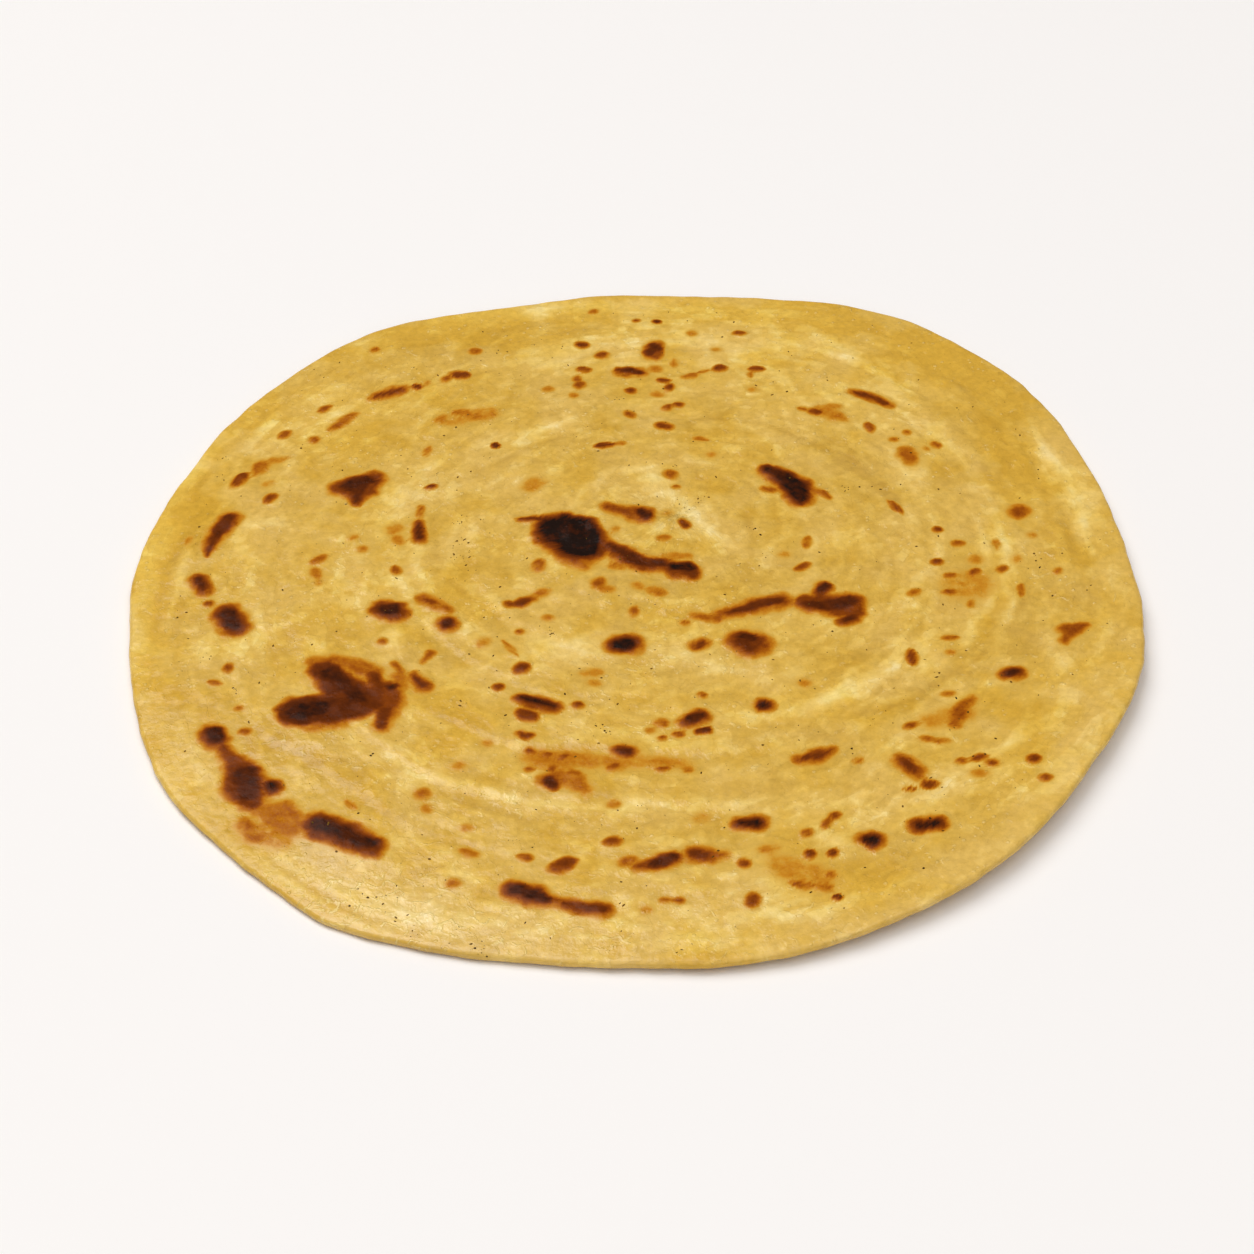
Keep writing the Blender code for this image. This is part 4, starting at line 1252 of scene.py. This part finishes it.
def paleness(n, place, pale, toast, flakes, scales, fine):
    """The dough's paleness with clouds, lifted layers, torn edges and a pale ring round each mark."""
    cloud = n.times(n.centred(n.steps(n.noise(place, 85, distortion=0.4), 0.34, 0.66)), 0.10)
    worn = n.steps(n.noise(place, 60, 3.0, 0.6), 0.42, 0.62)
    layers = n.times(n.plus(n.times(flakes, 0.28), n.times(scales, 0.24)), worn)
    ring = n.steps(n.distance_from(toast, -0.30), 0.28, 0.06)
    ring = n.times(ring, n.steps(n.noise(place, 130, 2.0), 0.36, 0.60))
    pale = n.plus(n.times(pale, 0.72), cloud)
    torn = n.plus(pale, n.times(n.centred_noise(n.shifted(place, 300, 0.0016), 240), 0.75))
    torn_low = n.times(n.steps(torn, -0.20, -0.15), 0.12)
    torn_high = n.times(n.steps(torn, 0.12, 0.17), 0.15)
    return n.plus(pale, layers, n.times(ring, 0.22), n.times(fine, 0.20), torn_low, torn_high, -0.28)


def dough_colour(n, place, pale, warm, fine):
    dough = n.ramp(n.scaled(pale, 0.5, 0.5), DOUGH_SHADES)
    golden = n.steps(n.noise(place, 75, 3.0, 0.55, 0.4), 0.34, 0.66)
    freckle = n.centred_noise(place, 330, 2.0, 0.5)
    warm = n.plus(warm, n.times(n.centred(golden), 1.7), n.times(freckle, 0.4))
    tint = n.ramp(n.scaled(warm, 0.5, 0.5), GOLDEN_TINTS)
    dough = n.mix(1.0, dough, tint, "MULTIPLY")
    return n.mix(1.0, dough, n.scaled(fine, 0.42, 1.0), "MULTIPLY")


def frayed_toast(n, place, toast, fine):
    """The browning with ragged edges and mottled middles."""
    edge = n.steps(n.distance_from(toast, 0.30), 0.42, 0.10)
    ragged = n.plus(n.times(n.centred_noise(place, 270, 4.0, 0.65), 0.60), n.times(fine, 0.22))
    mottle = n.times(n.centred_noise(place, 420, 4.0, 0.62), n.steps(toast, 0.3, 0.7))
    return n.plus(toast, n.times(ragged, edge), n.times(mottle, 0.45))


def oil_film(n, place, toast, fat_and_sheen):
    """The weight of the oily coat: strong where fat has pooled, and almost none on dry, browned skin."""
    oil = n.plus(n.scaled(n.noise(place, 120, 3.0, 0.6), 1.0, 0.08), n.times(fat_and_sheen, 0.50))
    dry = n.steps(toast, -0.05, 0.30)
    return n.math("MAXIMUM", n.times(oil, n.scaled(dry, -0.86, 1.0)), 0.02)


def fine_relief(n, place, fat_and_sheen, layer_edges, crests):
    """The surface's direction, bent by wrinkles, grain, lumps, layer edges and crests of fat."""
    wrinkled = n.plus(n.times(n.steps(n.noise(place, 140, 2.0), 0.50, 0.66), 0.50), n.times(fat_and_sheen, 0.12))
    wrinkle = n.times(n.ridges(n.shifted(place, 260, 0.004), 300), wrinkled)
    grain = n.noise(place, 1100, 3.0, 0.6)
    lumps = n.noise(place, 330)
    height = n.plus(n.times(wrinkle, 0.36), n.times(grain, 0.18), n.times(lumps, 0.50), layer_edges, crests)
    return n.new("ShaderNodeBump", {"Strength": 1.0, "Distance": 0.0004, "Height": height}).outputs["Normal"]


def dough_material():
    n = Nodes("griddled_dough")
    place = n.new("ShaderNodeTexCoord").outputs["Object"]
    coil = n.attribute("coil", "Vector")
    toast, pale, warm, fat_and_sheen = (n.attribute(name) for name in ("toast", "pale", "warm", "fat_and_sheen"))
    fine = n.centred_noise(place, 700)
    flakes, scales = lifted_layers(n, place, coil)
    threads, beads = fat_crests_and_glints(n, place, fat_and_sheen)

    pale = paleness(n, place, pale, toast, flakes, scales, fine)
    dough = dough_colour(n, place, pale, warm, fine)
    # Painted sheen: the dough is mixed toward pale cream where fat has pooled.
    dough = n.mix(n.times(fat_and_sheen, 0.10), dough, PAINTED_SHEEN_COLOUR)
    # Painted glints: threads and beads of fat are painted pale cream, more strongly where fat has pooled.
    fat = n.plus(n.times(threads, n.scaled(fat_and_sheen, 0.26, 0.18)), n.times(beads, 0.20))
    dough = n.mix(fat, dough, PAINTED_GLINT_COLOUR)
    toast = frayed_toast(n, place, toast, fine)
    brown = n.ramp(n.scaled(toast, 0.8, 0.2), TOAST_SHADES)

    layer_edges = n.plus(n.times(flakes, 0.12), n.times(scales, 0.10))
    crests = n.plus(n.times(threads, 0.20), n.times(beads, 0.30))
    normal = fine_relief(n, place, fat_and_sheen, layer_edges, crests)
    n.feed(n.shader, {
        "Base Color": n.mix(n.steps(toast, -0.18, 0.14), dough, brown),
        "Roughness": n.scaled(n.noise(place, 160, 3.0, 0.6), 0.4, 0.4),
        "Specular IOR Level": 0.05,
        "Coat Weight": oil_film(n, place, toast, fat_and_sheen),
        "Coat Roughness": 0.20,
        "Normal": normal,
        "Coat Normal": normal,
    })
    return n.material


def speck_material():
    n = Nodes("charred_flour")
    place = n.new("ShaderNodeTexCoord").outputs["Object"]
    colour = n.ramp(n.noise(place, 120, 2.0), SPECK_SHADES)
    n.feed(n.shader, {"Base Color": colour, "Roughness": 0.7, "Specular IOR Level": 0.05})
    return n.material


def floor_material():
    n = Nodes("studio_floor")
    n.feed(n.shader, {"Base Color": FLOOR_COLOUR, "Roughness": 0.7, "Specular IOR Level": 0.2})
    return n.material


# ---------------------------------------------------------------- stage

FLOOR_SIZE = 6.0
FLOOR_COLOUR = (0.93, 0.91, 0.90, 1.0)
SKY_COLOUR = (1.0, 0.99, 0.985, 1.0)
SKY_STRENGTH = 0.15
# Round lamps aimed at the middle of the bread: name, place, size across, power and colour.
LAMPS = (
    ("overhead", (0.2, -0.6, 2.6), 3.0, 34.0, (1.0, 0.985, 0.97)),
    ("key", (-1.08, 0.92, 2.64), 2.4, 53.0, (1.0, 0.985, 0.965)),
    ("fill", (0.4, -2.3, 1.5), 1.8, 11.0, (1.0, 0.985, 0.97)),
)


def build_floor():
    mesh = bpy.data.meshes.new("floor")
    half = FLOOR_SIZE / 2
    corners = [(-half, -half, 0), (half, -half, 0), (half, half, 0), (-half, half, 0)]
    mesh.from_pydata(corners, [], [(0, 1, 2, 3)])
    mesh.materials.append(floor_material())
    add_object("floor", mesh)


def light_scene():
    world = bpy.data.worlds.new("studio")
    world.use_nodes = True
    background = world.node_tree.nodes["Background"]
    background.inputs["Color"].default_value = SKY_COLOUR
    background.inputs["Strength"].default_value = SKY_STRENGTH
    bpy.context.scene.world = world
    for name, place, size, power, colour in LAMPS:
        light = bpy.data.lights.new(name, "AREA")
        light.shape = "DISK"
        light.size = size
        light.energy = power
        light.color = colour
        lamp = add_object(name, light)
        lamp.location = place
        lamp.rotation_euler = (-Vector(place)).to_track_quat("-Z", "Y").to_euler()


def place_camera():
    elevation = math.radians(CAMERA_ELEVATION)
    data = bpy.data.cameras.new("camera")
    data.lens = CAMERA_LENS
    data.clip_start = 0.01
    camera = add_object("camera", data)
    back = Vector((0, -math.cos(elevation), math.sin(elevation)))
    camera.location = CAMERA_AIM + back * CAMERA_DISTANCE
    camera.rotation_euler = (math.pi / 2 - elevation, 0, 0)
    bpy.context.scene.camera = camera


def main():
    place_camera()
    build_floor()
    light_scene()
    bread, points, upper_count = build_bread()
    paint_bread(bread, points, upper_count)
    bread.data.materials.append(dough_material())
    specks = build_specks(bread)
    specks.data.materials.append(speck_material())
    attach(bread, "root")
    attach(specks, "root")
    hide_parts(NODE)
    scene = bpy.context.scene
    scene.view_settings.view_transform = "Standard"
    scene.view_settings.look = "None"


main()
